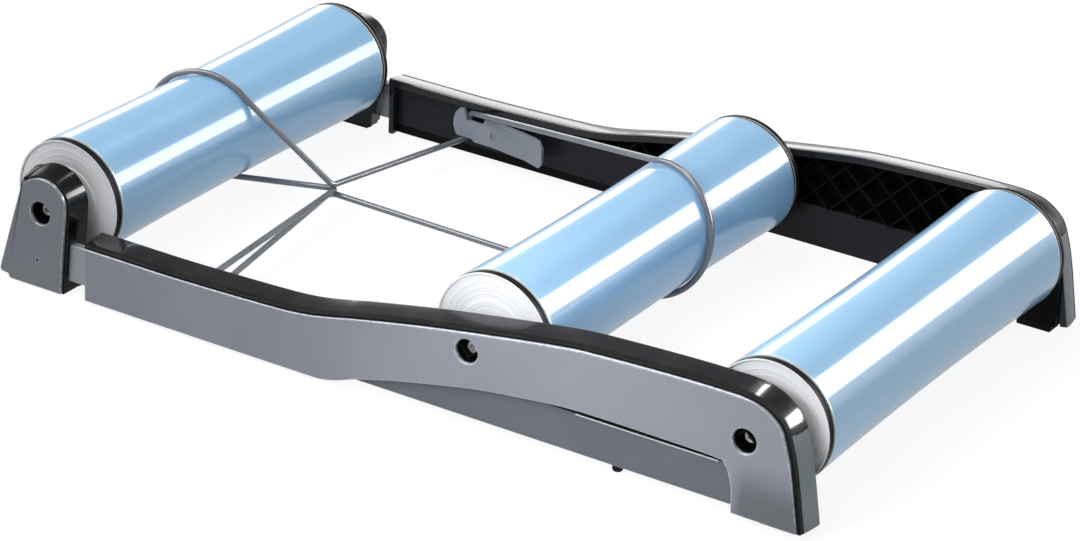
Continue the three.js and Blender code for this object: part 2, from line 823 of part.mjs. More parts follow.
// Direction, clockwise from straight up, in which a strand to a far point leaves a roller
function leavingAngle(axleX, radius, x, z, side) {
  const across = x - axleX;
  const up = z - axleHeight;
  const spread = Math.acos(radius / Math.hypot(across, up));
  return Math.atan2(across, up) + side * spread;
}

function wrap(axleX, startAngle, endAngle, offsets) {
  const sideways = new THREE.CatmullRomCurve3(offsets.map((offset) => new THREE.Vector3(0, offset, 0)));
  const places = [];
  for (let i = 0; i <= rollerWrapSteps; i += 1) {
    const share = i / rollerWrapSteps;
    const angle = THREE.MathUtils.lerp(startAngle, endAngle, share);
    const y = sideways.getPoint(share).y;
    const radius = rollerRadiusAt(y) + beltGap + beltRadius;
    const x = axleX + radius * Math.sin(angle);
    places.push(new THREE.Vector3(x, y, axleHeight + radius * Math.cos(angle)));
  }
  return places;
}

function bend(before, corner, after, radius) {
  const inward = before.clone().sub(corner).normalize();
  const onward = after.clone().sub(corner).normalize();
  const halfTurn = (Math.PI - inward.angleTo(onward)) / 2;
  const leg = radius * Math.tan(halfTurn);
  const start = corner.clone().addScaledVector(inward, leg);
  const end = corner.clone().addScaledVector(onward, leg);
  const bisector = inward.clone().add(onward).normalize();
  const centre = corner.clone().addScaledVector(bisector, radius / Math.cos(halfTurn));
  const places = [];
  for (let i = 0; i <= bendSteps; i += 1) {
    const mixed = start.clone().lerp(end, i / bendSteps).sub(centre).setLength(radius);
    places.push(mixed.add(centre));
  }
  return places;
}

function beltRoute() {
  const tightRadius = rollerRadiusAt(middleBottomOffset) + beltGap + beltRadius;
  const knotX = frontAxleX + knotReach;
  const knot = (step) => new THREE.Vector3(knotX, knotOffset, knotHeight + step * knotStep);
  const station = (side, reach, share, height) => (
    new THREE.Vector3(railFrontX + reach + share * clipLength, side * (halfWidth - clipBeltDepth), height)
  );
  const farTop = station(1, farClipReach, farClipBeltTopShare, clipBeltTopHeight);
  const farBottom = station(1, farClipReach, farClipBeltBottomShare, clipBeltBottomHeight);
  const nearTop = station(-1, nearClipReach, nearClipBeltTopShare, clipBeltTopHeight);
  const nearBottom = station(-1, nearClipReach, nearClipBeltBottomShare, clipBeltBottomHeight);
  const full = 2 * Math.PI;
  const middleTop = leavingAngle(middleAxleX, tightRadius, farTop.x, farTop.z, 1);
  const middleBottom = leavingAngle(middleAxleX, tightRadius, knotX, knot(-1).z, -1) + full;
  const frontTop = leavingAngle(frontAxleX, tightRadius, knotX, knot(1).z, -1) + full;
  const frontBottom = leavingAngle(frontAxleX, tightRadius, knotX, knot(0).z, 1);
  const middle = wrap(middleAxleX, middleTop, middleBottom, [
    middleTopOffset, middleCrownOffset, middleBackOffset, middleBottomOffset,
  ]);
  const front = wrap(frontAxleX, frontBottom, frontTop, [frontBottomOffset, frontLeftOffset, frontTopOffset]);
  return [
    ...middle,
    ...bend(middle[middle.length - 1], knot(-1), nearBottom, knotBend),
    ...bend(knot(-1), nearBottom, nearTop, clipBend),
    ...bend(nearBottom, nearTop, knot(0), clipBend),
    ...bend(nearTop, knot(0), front[0], knotBend),
    ...front,
    ...bend(front[front.length - 1], knot(1), farBottom, knotBend),
    ...bend(knot(1), farBottom, farTop, clipBend),
    ...bend(farBottom, farTop, middle[0], clipBend),
  ];
}

// Least distance between two stretches of the belt that aren't neighbours, less the belt's own width
function leastSelfGap(route) {
  const total = route.length;
  const strands = route.map((start, i) => new THREE.Line3(start, route[(i + 1) % total]));
  const samples = strands.map((strand) => {
    const count = Math.ceil(strand.distance() / beltRadius);
    return Array.from({ length: count }, (_, i) => strand.at(i / count, new THREE.Vector3()));
  });
  const away = 2 * bendSteps;
  const nearest = new THREE.Vector3();
  let least = Infinity;
  for (let i = 0; i < total; i += 1) {
    for (let j = 0; j < total; j += 1) {
      const apart = Math.min((i - j + total) % total, (j - i + total) % total);
      if (apart < away) continue;
      for (const sample of samples[i]) {
        strands[j].closestPointToPoint(sample, true, nearest);
        least = Math.min(least, nearest.distanceTo(sample));
      }
    }
  }
  return least - 2 * beltRadius;
}

function driveBelt() {
  const route = beltRoute();
  const total = route.length;
  const tangents = route.map((place, i) => {
    const before = route[(i - 1 + total) % total];
    const after = route[(i + 1) % total];
    const arrive = place.clone().sub(before).normalize();
    const leave = after.clone().sub(place).normalize();
    return arrive.add(leave).normalize();
  });
  const first = new THREE.Vector3(0, 1, 0);
  const frames = [first.addScaledVector(tangents[0], -first.dot(tangents[0])).normalize()];
  for (let i = 1; i <= total; i += 1) {
    const [from, to] = [tangents[i - 1], tangents[i % total]];
    const carry = new THREE.Quaternion().setFromUnitVectors(from, to);
    frames.push(frames[i - 1].clone().applyQuaternion(carry));
  }
  const closing = frames[total];
  const across = frames[0].clone().cross(tangents[0]);
  const twist = Math.atan2(closing.dot(across), closing.dot(frames[0]));
  const rings = route.map((place, i) => {
    const normal = frames[i].clone().applyAxisAngle(tangents[i], twist * (i / total));
    const binormal = tangents[i].clone().cross(normal);
    return Array.from({ length: beltSides }, (_, j) => {
      const angle = (2 * Math.PI * j) / beltSides;
      return place.clone()
        .addScaledVector(normal, beltRadius * Math.cos(angle))
        .addScaledVector(binormal, beltRadius * Math.sin(angle));
    });
  });
  console.log(`drive_belt least self gap ${leastSelfGap(route).toFixed(2)} mm over ${total} stations`);
  return skin(rings, null);
}

// Materials

function finish(color, roughness, metalness) {
  return new THREE.MeshStandardMaterial({ color, roughness, metalness, flatShading: true });
}

const materials = {
  roller: finish(0x9cc6ea, 0.12, 0),
  endCap: finish(0xd9dee2, 0.3, 0.1),
  grooveRing: finish(0x0c1118, 0.3, 0),
  steel: finish(0xb9bcc0, 0.3, 1),
  darkSteel: finish(0x4a4d52, 0.4, 1),
  shell: finish(0x2e3032, 0.4, 0),
  cover: finish(0x8b8e96, 0.45, 0.1),
  beam: finish(0x62676e, 0.5, 0.1),
  bar: finish(0xc4c7cb, 0.35, 0.9),
  clip: finish(0x17181b, 0.4, 0),
  rubber: finish(0x101113, 0.85, 0),
  belt: finish(0x1a1c24, 0.55, 0),
};

// Assembly

const object = new THREE.Group();

function addPiece(parent, name, geometry, material) {
  const mesh = new THREE.Mesh(closed(geometry), material);
  mesh.name = name;
  parent.add(mesh);
}

function addSidePiece(parent, side, name, geometry, material) {
  addPiece(parent, `${side}_${name}`, side === 'far' ? mirrored(geometry) : geometry, material);
}

function addRoller(name, axleX) {
  const roller = new THREE.Group();
  roller.position.set(axleX, 0, axleHeight);
  addPiece(roller, `${name}_roller_tube`, rollerTube(), materials.roller);
  for (const side of ['near', 'far']) {
    const prefix = `${side}_${name}_roller`;
    const place = (geometry) => (side === 'far' ? mirrored(geometry) : geometry);
    addPiece(roller, `${prefix}_end_cap`, place(rollerEndCap()), materials.endCap);
    addPiece(roller, `${prefix}_groove_ring`, place(grooveRing()), materials.grooveRing);
    addPiece(roller, `${prefix}_bearing`, place(bearing()), materials.steel);
  }
  object.add(roller);
}

function addAxle(name, axleX) {
  const holder = new THREE.Group();
  holder.position.set(axleX, 0, axleHeight);
  addPiece(holder, `${name}_axle`, axle(), materials.steel);
  for (const side of ['near', 'far']) {
    addSidePiece(holder, side, `${name}_axle_bolt`, axleBolt(), materials.darkSteel);
  }
  object.add(holder);
}

function addRail(side, clipReach) {
  const rail = new THREE.Group();
  const clipFrontX = railFrontX + clipReach;
  addSidePiece(rail, side, 'rail_shell', railShell(), materials.shell);
  addSidePiece(rail, side, 'rail_cover', railCover(), materials.cover);
  addSidePiece(rail, side, 'rail_beam', railBeam(clipFrontX), materials.beam);
  addSidePiece(rail, side, 'slide_collar', slideCollar(), materials.clip);
  addSidePiece(rail, side, 'belt_clip', beltClip(clipFrontX), materials.clip);
  addSidePiece(rail, side, 'clip_screw', clipScrew(clipFrontX), materials.darkSteel);
  addSidePiece(rail, side, 'rear_pad', rearPad(), materials.rubber);
  addSidePiece(rail, side, 'middle_foot', midFoot(), materials.rubber);
  object.add(rail);
}

function addFrontEnd(side) {
  const frontEnd = new THREE.Group();
  addSidePiece(frontEnd, side, 'front_cap_body', capBody(), materials.shell);
  addSidePiece(frontEnd, side, 'front_cap_plate', capFrontPlate(), materials.cover);
  addSidePiece(frontEnd, side, 'front_cap_screw', capScrew(), materials.darkSteel);
  addSidePiece(frontEnd, side, 'front_cap_foot', capFoot(), materials.rubber);
  addSidePiece(frontEnd, side, 'slide_bar', slideBar(), materials.bar);
  addSidePiece(frontEnd, side, 'slide_bar_plug', slidePlug(), materials.clip);
  object.add(frontEnd);
}

addRoller('front', frontAxleX);
addRoller('middle', middleAxleX);
addRoller('rear', rearAxleX);
addAxle('front', frontAxleX);
addAxle('middle', middleAxleX);
addAxle('rear', rearAxleX);
addRail('near', nearClipReach);
addRail('far', farClipReach);
addFrontEnd('near');
addFrontEnd('far');
addPiece(object, 'drive_belt', driveBelt(), materials.belt);

export default object;
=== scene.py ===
"""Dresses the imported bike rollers: fine meshes, procedural finishes, a pale studio and the camera."""

import logging
import math
from dataclasses import dataclass, field, replace
from enum import Enum
from typing import Callable, Optional, Sequence

import bmesh
import bpy
from mathutils import Matrix, Quaternion, Vector

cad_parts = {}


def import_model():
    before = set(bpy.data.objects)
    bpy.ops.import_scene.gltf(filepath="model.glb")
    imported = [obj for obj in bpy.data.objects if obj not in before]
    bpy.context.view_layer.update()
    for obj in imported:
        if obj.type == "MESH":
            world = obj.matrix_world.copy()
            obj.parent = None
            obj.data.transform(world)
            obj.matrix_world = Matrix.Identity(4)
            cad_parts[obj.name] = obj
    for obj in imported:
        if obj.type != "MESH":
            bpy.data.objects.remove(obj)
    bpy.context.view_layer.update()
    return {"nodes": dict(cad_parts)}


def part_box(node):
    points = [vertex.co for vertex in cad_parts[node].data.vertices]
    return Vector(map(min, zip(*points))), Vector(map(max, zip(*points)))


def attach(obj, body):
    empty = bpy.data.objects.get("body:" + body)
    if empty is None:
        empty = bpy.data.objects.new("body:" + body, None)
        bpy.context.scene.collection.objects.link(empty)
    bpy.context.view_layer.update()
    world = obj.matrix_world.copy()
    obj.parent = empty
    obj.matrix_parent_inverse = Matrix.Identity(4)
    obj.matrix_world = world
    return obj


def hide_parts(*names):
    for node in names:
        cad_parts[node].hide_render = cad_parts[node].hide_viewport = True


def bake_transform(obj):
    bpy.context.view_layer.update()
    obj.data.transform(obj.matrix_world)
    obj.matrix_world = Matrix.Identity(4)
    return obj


LOG = logging.getLogger("bike_rollers")
MM = 0.001
FULL_TURN = 2 * math.pi
HEXAGON = 6
HOLE_SIDES = 64
FRAME_BODY = "frame"
CARRIAGE_BODY = "front_carriage"

Point2 = tuple[float, float]
Point3 = tuple[float, float, float]
Piece = bpy.types.Object
Socket = bpy.types.NodeSocket


class Side(Enum):
    """The two sides of the rollers, by the sign of Y."""

    NEAR = -1
    FAR = 1

    def named(self, word: str) -> str:
        """A name with the side's word first."""
        return f"{self.name.lower()}_{word}"


@dataclass(frozen=True)
class Plan:
    """Shared places and sizes of the stored rollers, in millimetres."""

    half_width: float = 242.4
    axle_height: float = 72.5
    front_axle: float = -348.0
    middle_axle: float = 91.0
    rear_axle: float = 348.0
    rail_front: float = -300.1
    rail_rear: float = 399.0
    roller_face: float = 204.5
    waist: float = 51.7
    flare: float = 2.7
    tube_end: float = 196.0
    fit_gap: float = 0.3
    axle_radius: float = 5.0
    axle_hole: float = 5.3
    bolt_hole: float = 3.3
    pocket_radius: float = 10.5
    pocket_floor: float = 16.3
    axle_seat: float = 18.7
    cap_screw_x: float = -352.0
    cap_screw_z: float = 27.5

    @property
    def axles(self) -> dict[str, float]:
        """X of each axle, by its roller's name."""
        return {"front": self.front_axle, "middle": self.middle_axle, "rear": self.rear_axle}

    def near(self, depth: float) -> float:
        """Y of a depth behind the near rail's outer face."""
        return depth - self.half_width

    def along_rail(self, share: float) -> float:
        """X of a share of the rail's length."""
        return self.rail_front + share * (self.rail_rear - self.rail_front)

    def tube_radius(self, y: float) -> float:
        """A roller tube's radius at a distance from its middle."""
        return self.waist + self.flare * (y / self.tube_end) ** 2


PLAN = Plan()


# Outlines


def catmull(points: Sequence[Point2], steps: int) -> list[Point2]:
    """Smooth curve through points.

    Args:
        points: the points that the curve passes.
        steps: how many stretches the curve is cut into.

    Returns:
        The curve's points, both ends included.
    """
    last = len(points) - 1
    curve = []
    for step in range(steps + 1):
        along = last * step / steps
        i = min(int(along), last - 1)
        t = along - i
        p0, p1 = points[max(i - 1, 0)], points[i]
        p2, p3 = points[i + 1], points[min(i + 2, last)]
        place = []
        for axis in (0, 1):
            v0, v1 = (p2[axis] - p0[axis]) / 2, (p3[axis] - p1[axis]) / 2
            place.append(
                (2 * p1[axis] - 2 * p2[axis] + v0 + v1) * t**3
                + (3 * p2[axis] - 3 * p1[axis] - 2 * v0 - v1) * t**2
                + v0 * t
                + p1[axis]
            )
        curve.append((place[0], place[1]))
    return curve


def outward(path: Sequence[Point2], closed: bool) -> list[Point2]:
    """Mitred outward directions of a path whose outside is on its left.

    Args:
        path: the path's corners.
        closed: whether the last corner joins the first.

    Returns:
        One direction for each corner, lengthened at the corners.
    """
    total = len(path)
    shortest = math.sqrt(0.5)
    found = []
    for i, here in enumerate(path):
        legs = []
        if closed or i > 0:
            legs.append(Vector(here) - Vector(path[i - 1]))
        if closed or i < total - 1:
            legs.append(Vector(path[(i + 1) % total]) - Vector(here))
        normals = [Vector((-leg.y, leg.x)).normalized() for leg in legs]
        mean = sum(normals, Vector((0.0, 0.0))).normalized()
        reach = 1 / max(mean.dot(normals[0]), shortest) if len(legs) > 1 else 1.0
        found.append((mean.x * reach, mean.y * reach))
    return found


def shifted(path: Sequence[Point2], distance: float, closed: bool = True) -> list[Point2]:
    """The path moved outward by a distance."""
    directions = outward(path, closed)
    return [(x + dx * distance, z + dz * distance) for (x, z), (dx, dz) in zip(path, directions)]


def filleted(
    path: Sequence[Point2], radius: float, steps: int = 4, least_turn: float = 0.3
) -> list[Point2]:
    """Rounds the corners of a closed path.

    Args:
        path: the path's corners.
        radius: radius of the rounding.
        steps: stretches in each rounded corner.
        least_turn: smallest turn, in radians, that is rounded.

    Returns:
        The rounded path.
    """
    total = len(path)
    widest_share, nothing = 0.45, 1e-9
    rounded: list[Point2] = []
    for i in range(total):
        before, here, after = (Vector(path[(i + k) % total]) for k in (-1, 0, 1))
        back, on = before - here, after - here
        if min(back.length, on.length) < nothing:
            continue
        turn = math.pi - back.angle(on)
        if turn < least_turn:
            rounded.append((here.x, here.y))
            continue
        leg = min(radius * math.tan(turn / 2), widest_share * back.length, widest_share * on.length)
        start = here + back.normalized() * leg
        end = here + on.normalized() * leg
        for step in range(steps + 1):
            t = step / steps
            place = start * (1 - t) ** 2 + here * (2 * t * (1 - t)) + end * t**2
            rounded.append((place.x, place.y))
    return rounded


def from_shares(
    shares: Sequence[Point2], x0: float, z0: float, length: float, height: float
) -> list[Point2]:
    """Places of points given as shares of a length and a height."""
    return [(x0 + along * length, z0 + up * height) for along, up in shares]


def round_angles(sides: int) -> list[float]:
    """Angles that cut a full turn evenly."""
    return [FULL_TURN * i / sides for i in range(sides)]


# Meshes


def linked(name: str, data: bpy.types.ID) -> Piece:
    """Adds an object with its data to the scene."""
    added = bpy.data.objects.new(name, data)
    bpy.context.scene.collection.objects.link(added)
    return added


def from_edit(bm: bmesh.types.BMesh, name: str) -> Piece:
    """Makes an object from an edit mesh, and frees the edit mesh."""
    mesh = bpy.data.meshes.new(name)
    bm.to_mesh(mesh)
    bm.free()
    return linked(name, mesh)


def turn_over(bm: bmesh.types.BMesh) -> None:
    """Mirrors an edit mesh to the other side."""
    bmesh.ops.scale(bm, vec=(1, -1, 1), verts=bm.verts)
    bmesh.ops.reverse_faces(bm, faces=bm.faces)


def sided(piece: Piece, side: Side, word: str) -> Piece:
    """Names a near-side piece for a side, and mirrors it when that is the far side."""
    piece.name = piece.data.name = side.named(word)
    if side is Side.FAR:
        bm = bmesh.new()
        bm.from_mesh(piece.data)
        turn_over(bm)
        bm.to_mesh(piece.data)
        bm.free()
    return piece


class MeshWork:
    """Collects closed bodies into one mesh, in millimetres."""

    def __init__(self) -> None:
        """Starts with no faces."""
        self.bm = bmesh.new()

    def skin(self, rings: Sequence[Sequence[Vector]], loop: bool = False) -> "MeshWork":
        """Joins rings of equal length into a closed body.

        Args:
            rings: the rings, in order.
            loop: whether the last ring joins the first, and no ends are closed.

        Returns:
            The same work, so that calls can follow.
        """
        made = bmesh.new()
        rows = [[made.verts.new(point * MM) for point in ring] for ring in rings]
        pairs = list(zip(rows, rows[1:])) + ([(rows[-1], rows[0])] if loop else [])
        for low, high in pairs:
            for j in range(len(low)):
                k = (j + 1) % len(low)
                made.faces.new((low[j], low[k], high[k], high[j]))
        if not loop:
            made.faces.new(rows[0])
            made.faces.new(rows[-1])
        bmesh.ops.remove_doubles(made, verts=made.verts, dist=1e-7)
        bmesh.ops.recalc_face_normals(made, faces=made.faces)
        made.verts.index_update()
        copies = [self.bm.verts.new(v.co) for v in made.verts]
        for face in made.faces:
            if face.calc_area() > 0:
                self.bm.faces.new([copies[v.index] for v in face.verts])
        made.free()
        return self

    def lathe(
        self, profile: Sequence[Point2], sides: int, x: float, z: float = PLAN.axle_height
    ) -> "MeshWork":
        """Turns a closed profile of (radius, y) corners about an axis along Y.

        Args:
            profile: the profile's corners; it may touch the axis.
            sides: how many stretches make the round.
            x: X of the axis.
            z: Z of the axis, which is the axles' height for most pieces.

        Returns:
            The same work, so that calls can follow.
        """
        return self.skin([
            [Vector((x + r * math.sin(turn), y, z + r * math.cos(turn))) for r, y in profile]
            for turn in round_angles(sides)
        ], loop=True)

    def box(self, low: Point3, high: Point3) -> "MeshWork":
        """Adds a box between two corners."""
        ring = [(low[0], low[2]), (high[0], low[2]), (high[0], high[2]), (low[0], high[2])]
        return self.plate(ring, low[1], high[1])

    def plate(self, outline: Sequence[Point2], y0: float, y1: float) -> "MeshWork":
        """Adds a plate with an outline in X and Z, between two Y."""
        return self.skin([[Vector((x, y, z)) for x, z in outline] for y in (y0, y1)])

    def done(self, name: str, side: Side = Side.NEAR) -> Piece:
        """Makes the object, mirrored for the far side."""
        if side is Side.FAR:
            turn_over(self.bm)
        return from_edit(self.bm, name)


def settle(piece: Piece) -> Piece:
    """Turns a piece's modifiers into plain mesh."""
    graph = bpy.context.evaluated_depsgraph_get()
    graph.update()
    mesh = bpy.data.meshes.new_from_object(piece.evaluated_get(graph))
    piece.modifiers.clear()
    old = piece.data
    piece.data = mesh
    bpy.data.meshes.remove(old)
    mesh.name = piece.name
    return piece


def mark_toned_edges(mesh: bpy.types.Mesh, widest: float = 0.7, least_turn: float = 0.1) -> None:
    """Marks the narrow faces along rounded outer edges, which get a lighter tone for wear and a painted
    edge highlight.

    Args:
        mesh: the mesh, whose face attribute is written.
        widest: widest face that counts, in millimetres.
        least_turn: smallest turn, in radians, that makes an edge an outer one.
    """
    bm = bmesh.new()
    bm.from_mesh(mesh)
    marks = []
    for face in bm.faces:
        convex = sum(edge.calc_face_angle_signed(0.0) > least_turn for edge in face.edges)
        narrow = 2 * face.calc_area() < widest * MM * face.calc_perimeter()
        marks.append(1.0 if convex >= 2 and narrow else 0.0)
    bm.free()
    attribute = mesh.attributes.get("rubbed") or mesh.attributes.new("rubbed", "FLOAT", "FACE")
    attribute.data.foreach_set("value", marks)


def repaint(
    piece: Piece, finish: "Finish", chosen: Callable[[bpy.types.MeshPolygon], bool]
) -> None:
    """Gives chosen faces of a piece another finish.

    Args:
        piece: the piece, whose first material is its own.
        finish: the finish of the chosen faces.
        chosen: tells whether a face is chosen.
    """
    if not piece.data.materials:
        piece.data.materials.append(None)
    piece.data.materials.append(finish.material())
    index = len(piece.data.materials) - 1
    for face in piece.data.polygons:
        if chosen(face):
            face.material_index = index


def smooth(piece: Piece, angle: float = 42.0) -> Piece:
    """Shades a piece smooth, with its large faces flat and its edges above an angle sharp."""
    piece.data.polygons.foreach_set("use_smooth", [True] * len(piece.data.polygons))
    piece.data.set_sharp_from_angle(angle=math.radians(angle))
    weigh = piece.modifiers.new("weigh", "WEIGHTED_NORMAL")
    weigh.keep_sharp = True
    weigh.weight = 90
    return settle(piece)


def bevelled(piece: Piece, width: float, segments: int = 3, angle: float = 28.0) -> Piece:
    """Rounds a piece's sharp edges by a width in millimetres."""
    bevel = piece.modifiers.new("round", "BEVEL")
    bevel.width = width * MM
    bevel.segments = segments
    bevel.limit_method = "ANGLE"
    bevel.angle_limit = math.radians(angle)
    bevel.use_clamp_overlap = True
    return settle(piece)


def carved(piece: Piece, *cutters: Piece) -> Piece:
    """Takes the cutters out of a piece, and deletes them."""
    for cutter in cutters:
        cut = piece.modifiers.new("carve", "BOOLEAN")
        cut.operation = "DIFFERENCE"
        cut.solver = "EXACT"
        cut.object = cutter
    settle(piece)
    for cutter in cutters:
        bpy.data.objects.remove(cutter)
    return piece


def refined(node: Piece, name: str, width: float) -> Piece:
    """A copy of a CAD solid with its corners merged and its edges rounded.

    Args:
        node: the CAD node's object.
        name: the new piece's name.
        width: width of the rounding, in millimetres.

    Returns:
        The new piece.
    """
    bm = bmesh.new()
    bm.from_mesh(node.data)
    bmesh.ops.remove_doubles(bm, verts=bm.verts, dist=2e-6)
    bmesh.ops.dissolve_limit(
        bm, angle_limit=math.radians(1), verts=bm.verts, edges=bm.edges, use_dissolve_boundaries=False
    )
    return smooth(bevelled(from_edit(bm, name), width))


# Shader groups that more than one finish uses


class NodeMaker:
    """Adds nodes and links to one node tree in few words."""

    def __init__(self, tree: bpy.types.NodeTree) -> None:
        """Keeps the tree that is filled."""
        self.tree = tree

    def feed(self, node: bpy.types.Node, values: dict[object, object]) -> None:
        """Links sockets to a node's inputs, or sets plain values."""
        for key, value in values.items():
            if isinstance(value, Socket):
                self.tree.links.new(value, node.inputs[key])
            else:
                node.inputs[key].default_value = value

    def node(
        self, kind: str, inputs: Optional[dict[object, object]] = None, **settings: object
    ) -> bpy.types.Node:
        """Adds a node, sets its properties and feeds its inputs."""
        made = self.tree.nodes.new(kind)
        for key, value in settings.items():
            setattr(made, key, value)
        self.feed(made, inputs or {})
        return made

    def maths(self, operation: str, a: object, b: object, clamp: bool = False) -> Socket:
        """A maths node's result."""
        return self.node("ShaderNodeMath", {0: a, 1: b}, operation=operation, use_clamp=clamp).outputs[0]

    def ramp(
        self, value: object, low: float, high: float, to_low: object = 0.0, to_high: object = 1.0
    ) -> Socket:
        """A value taken smoothly from one range to another."""
        return self.node("ShaderNodeMapRange", {
            "Value": value, "From Min": low, "From Max": high, "To Min": to_low, "To Max": to_high,
        }, interpolation_type="SMOOTHSTEP").outputs["Result"]

    def mix(self, factor: object, first: object, second: object) -> Socket:
        """A mix of two colours, which are the node's seventh and eighth inputs."""
        return self.node(
            "ShaderNodeMix", {0: factor, 6: first, 7: second}, data_type="RGBA", clamp_factor=True
        ).outputs[2]

    def noise(self, vector: object, scale: object, detail: float = 3.0) -> Socket:
        """A noise texture's value."""
        inputs = {"Vector": vector, "Scale": scale, "Detail": detail}
        return self.node("ShaderNodeTexNoise", inputs).outputs["Fac"]

    def split(self, vector: object) -> bpy.types.NodeOutputs:
        """A vector's three parts."""
        return self.node("ShaderNodeSeparateXYZ", {0: vector}).outputs


class ShaderGroups:
    """Builds each shared shader group once, on first use."""

    INPUTS: dict[str, dict[str, Optional[float]]] = {
        "tone_drift": {"Scale": 12.0, "Speckle scale": 900.0, "First": None, "Second": None},
        "moulded_skin": {"Peel scale": 90.0, "Grain scale": 1600.0, "Grain share": 0.3},
        "drawn_lines": {"Scale": 1400.0},
        "settled_dust": {"Scale": 35.0, "Amount": 0.1},
        "rubbed_edges": {"Scale": 240.0, "Amount": 0.4},
    }
    COLORS = ("First", "Second", "Color")

    def __init__(self) -> None:
        """Starts with no groups."""
        self.made: dict[str, bpy.types.NodeTree] = {}

    def place(self, maker: NodeMaker, name: str, **values: object) -> bpy.types.NodeOutputs:
        """Places a group in a material.

        Args:
            maker: the material's node maker.
            name: the group's name.
            values: sockets or values by input name, with underscores for spaces.

        Returns:
            The group's outputs.
        """
        if name not in self.made:
            self.made[name] = self._built(name)
        placed = maker.node("ShaderNodeGroup", node_tree=self.made[name])
        maker.feed(placed, {key.replace("_", " ").capitalize(): value for key, value in values.items()})
        return placed.outputs

    def _built(self, name: str) -> bpy.types.NodeTree:
        """Makes a group with its named sockets and fills it."""
        tree = bpy.data.node_groups.new(name, "ShaderNodeTree")
        tree.interface.new_socket("Vector", in_out="INPUT", socket_type="NodeSocketVector")
        for key, value in self.INPUTS[name].items():
            self._socket(tree, key, "INPUT", value)
        maker = NodeMaker(tree)
        fills = {
            "tone_drift": self._tone_drift, "moulded_skin": self._moulded_skin,
            "drawn_lines": self._drawn_lines, "settled_dust": self._settled_dust,
            "rubbed_edges": self._rubbed_edges,
        }
        results = fills[name](maker, maker.node("NodeGroupInput").outputs)
        for key in results:
            self._socket(tree, key, "OUTPUT", None)
        maker.node("NodeGroupOutput", results)
        return tree

    def _socket(self, tree: bpy.types.NodeTree, key: str, way: str, value: Optional[float]) -> None:
        """Adds a colour or number socket to a group."""
        kind = "NodeSocketColor" if key in self.COLORS else "NodeSocketFloat"
        socket = tree.interface.new_socket(key, in_out=way, socket_type=kind)
        if value is not None:
            socket.default_value = value

    def _tone_drift(self, maker: NodeMaker, given: bpy.types.NodeOutputs) -> dict[str, Socket]:
        """Slow drift between two colours, with a fine speckle."""
        slow = maker.ramp(maker.noise(given["Vector"], given["Scale"]), 0.32, 0.68)
        fine = maker.noise(given["Vector"], given["Speckle scale"], 1.0)
        parts = maker.maths("MULTIPLY", slow, 0.8), maker.maths("MULTIPLY", fine, 0.2)
        mask = maker.maths("ADD", *parts, True)
        return {"Color": maker.mix(mask, given["First"], given["Second"]), "Mask": mask}

    def _moulded_skin(self, maker: NodeMaker, given: bpy.types.NodeOutputs) -> dict[str, Socket]:
        """Height of a moulded surface: slow orange peel and fine grain."""
        peel = maker.noise(given["Vector"], given["Peel scale"], 2.0)
        grain = maker.noise(given["Vector"], given["Grain scale"], 2.0)
        return {"Height": maker.maths("ADD", peel, maker.maths("MULTIPLY", grain, given["Grain share"]))}

    def _drawn_lines(self, maker: NodeMaker, given: bpy.types.NodeOutputs) -> dict[str, Socket]:
        """Fine lines left by drawing or turning, as long as the given vector's stretch makes them."""
        lines = maker.noise(given["Vector"], given["Scale"], 4.0)
        return {"Height": lines, "Mask": maker.ramp(lines, 0.35, 0.65)}

    def _settled_dust(self, maker: NodeMaker, given: bpy.types.NodeOutputs) -> dict[str, Socket]:
        """Thin dust on faces that look up, in soft patches."""
        facing = maker.node("ShaderNodeNewGeometry").outputs["Normal"]
        upward = maker.ramp(maker.split(facing)["Z"], 0.2, 1.0)
        patches = maker.ramp(maker.noise(given["Vector"], given["Scale"], 6.0), 0.38, 0.72)
        specks = maker.ramp(maker.noise(given["Vector"], 2600.0, 1.0), 0.5, 0.75)
        mask = maker.maths("MULTIPLY", upward, maker.maths("ADD", patches, specks))
        return {"Mask": maker.maths("MULTIPLY", mask, given["Amount"], True)}

    def _rubbed_edges(self, maker: NodeMaker, given: bpy.types.NodeOutputs) -> dict[str, Socket]:
        """Mask of the rounded edges, whose lighter tone is partly wear from hands and floors and partly a
        painted edge highlight.
        """
        edges = maker.node("ShaderNodeAttribute", attribute_type="GEOMETRY", attribute_name="rubbed")
        broken = maker.ramp(maker.noise(given["Vector"], given["Scale"], 4.0), 0.35, 0.65, 0.3)
        mask = maker.maths("MULTIPLY", edges.outputs["Fac"], broken)
        return {"Mask": maker.maths("MULTIPLY", mask, given["Amount"], True)}


GROUPS = ShaderGroups()


def srgb(red: float, green: float, blue: float) -> tuple[float, float, float, float]:
    """A colour of 0 to 255 values as the shader's linear colour."""
    linear = []
    for value in (red, green, blue):
        share = value / 255
        linear.append(share / 12.92 if share <= 0.04045 else ((share + 0.055) / 1.055) ** 2.4)
    return (linear[0], linear[1], linear[2], 1.0)


class Relief(Enum):
    """How a finish's surface is worked, with the stretch of its lines where it has some."""

    MOULDED = ()
    DRAWN_ALONG = (0.0, 40.0, 40.0)
    TURNED = (0.0, 60.0, 0.0)


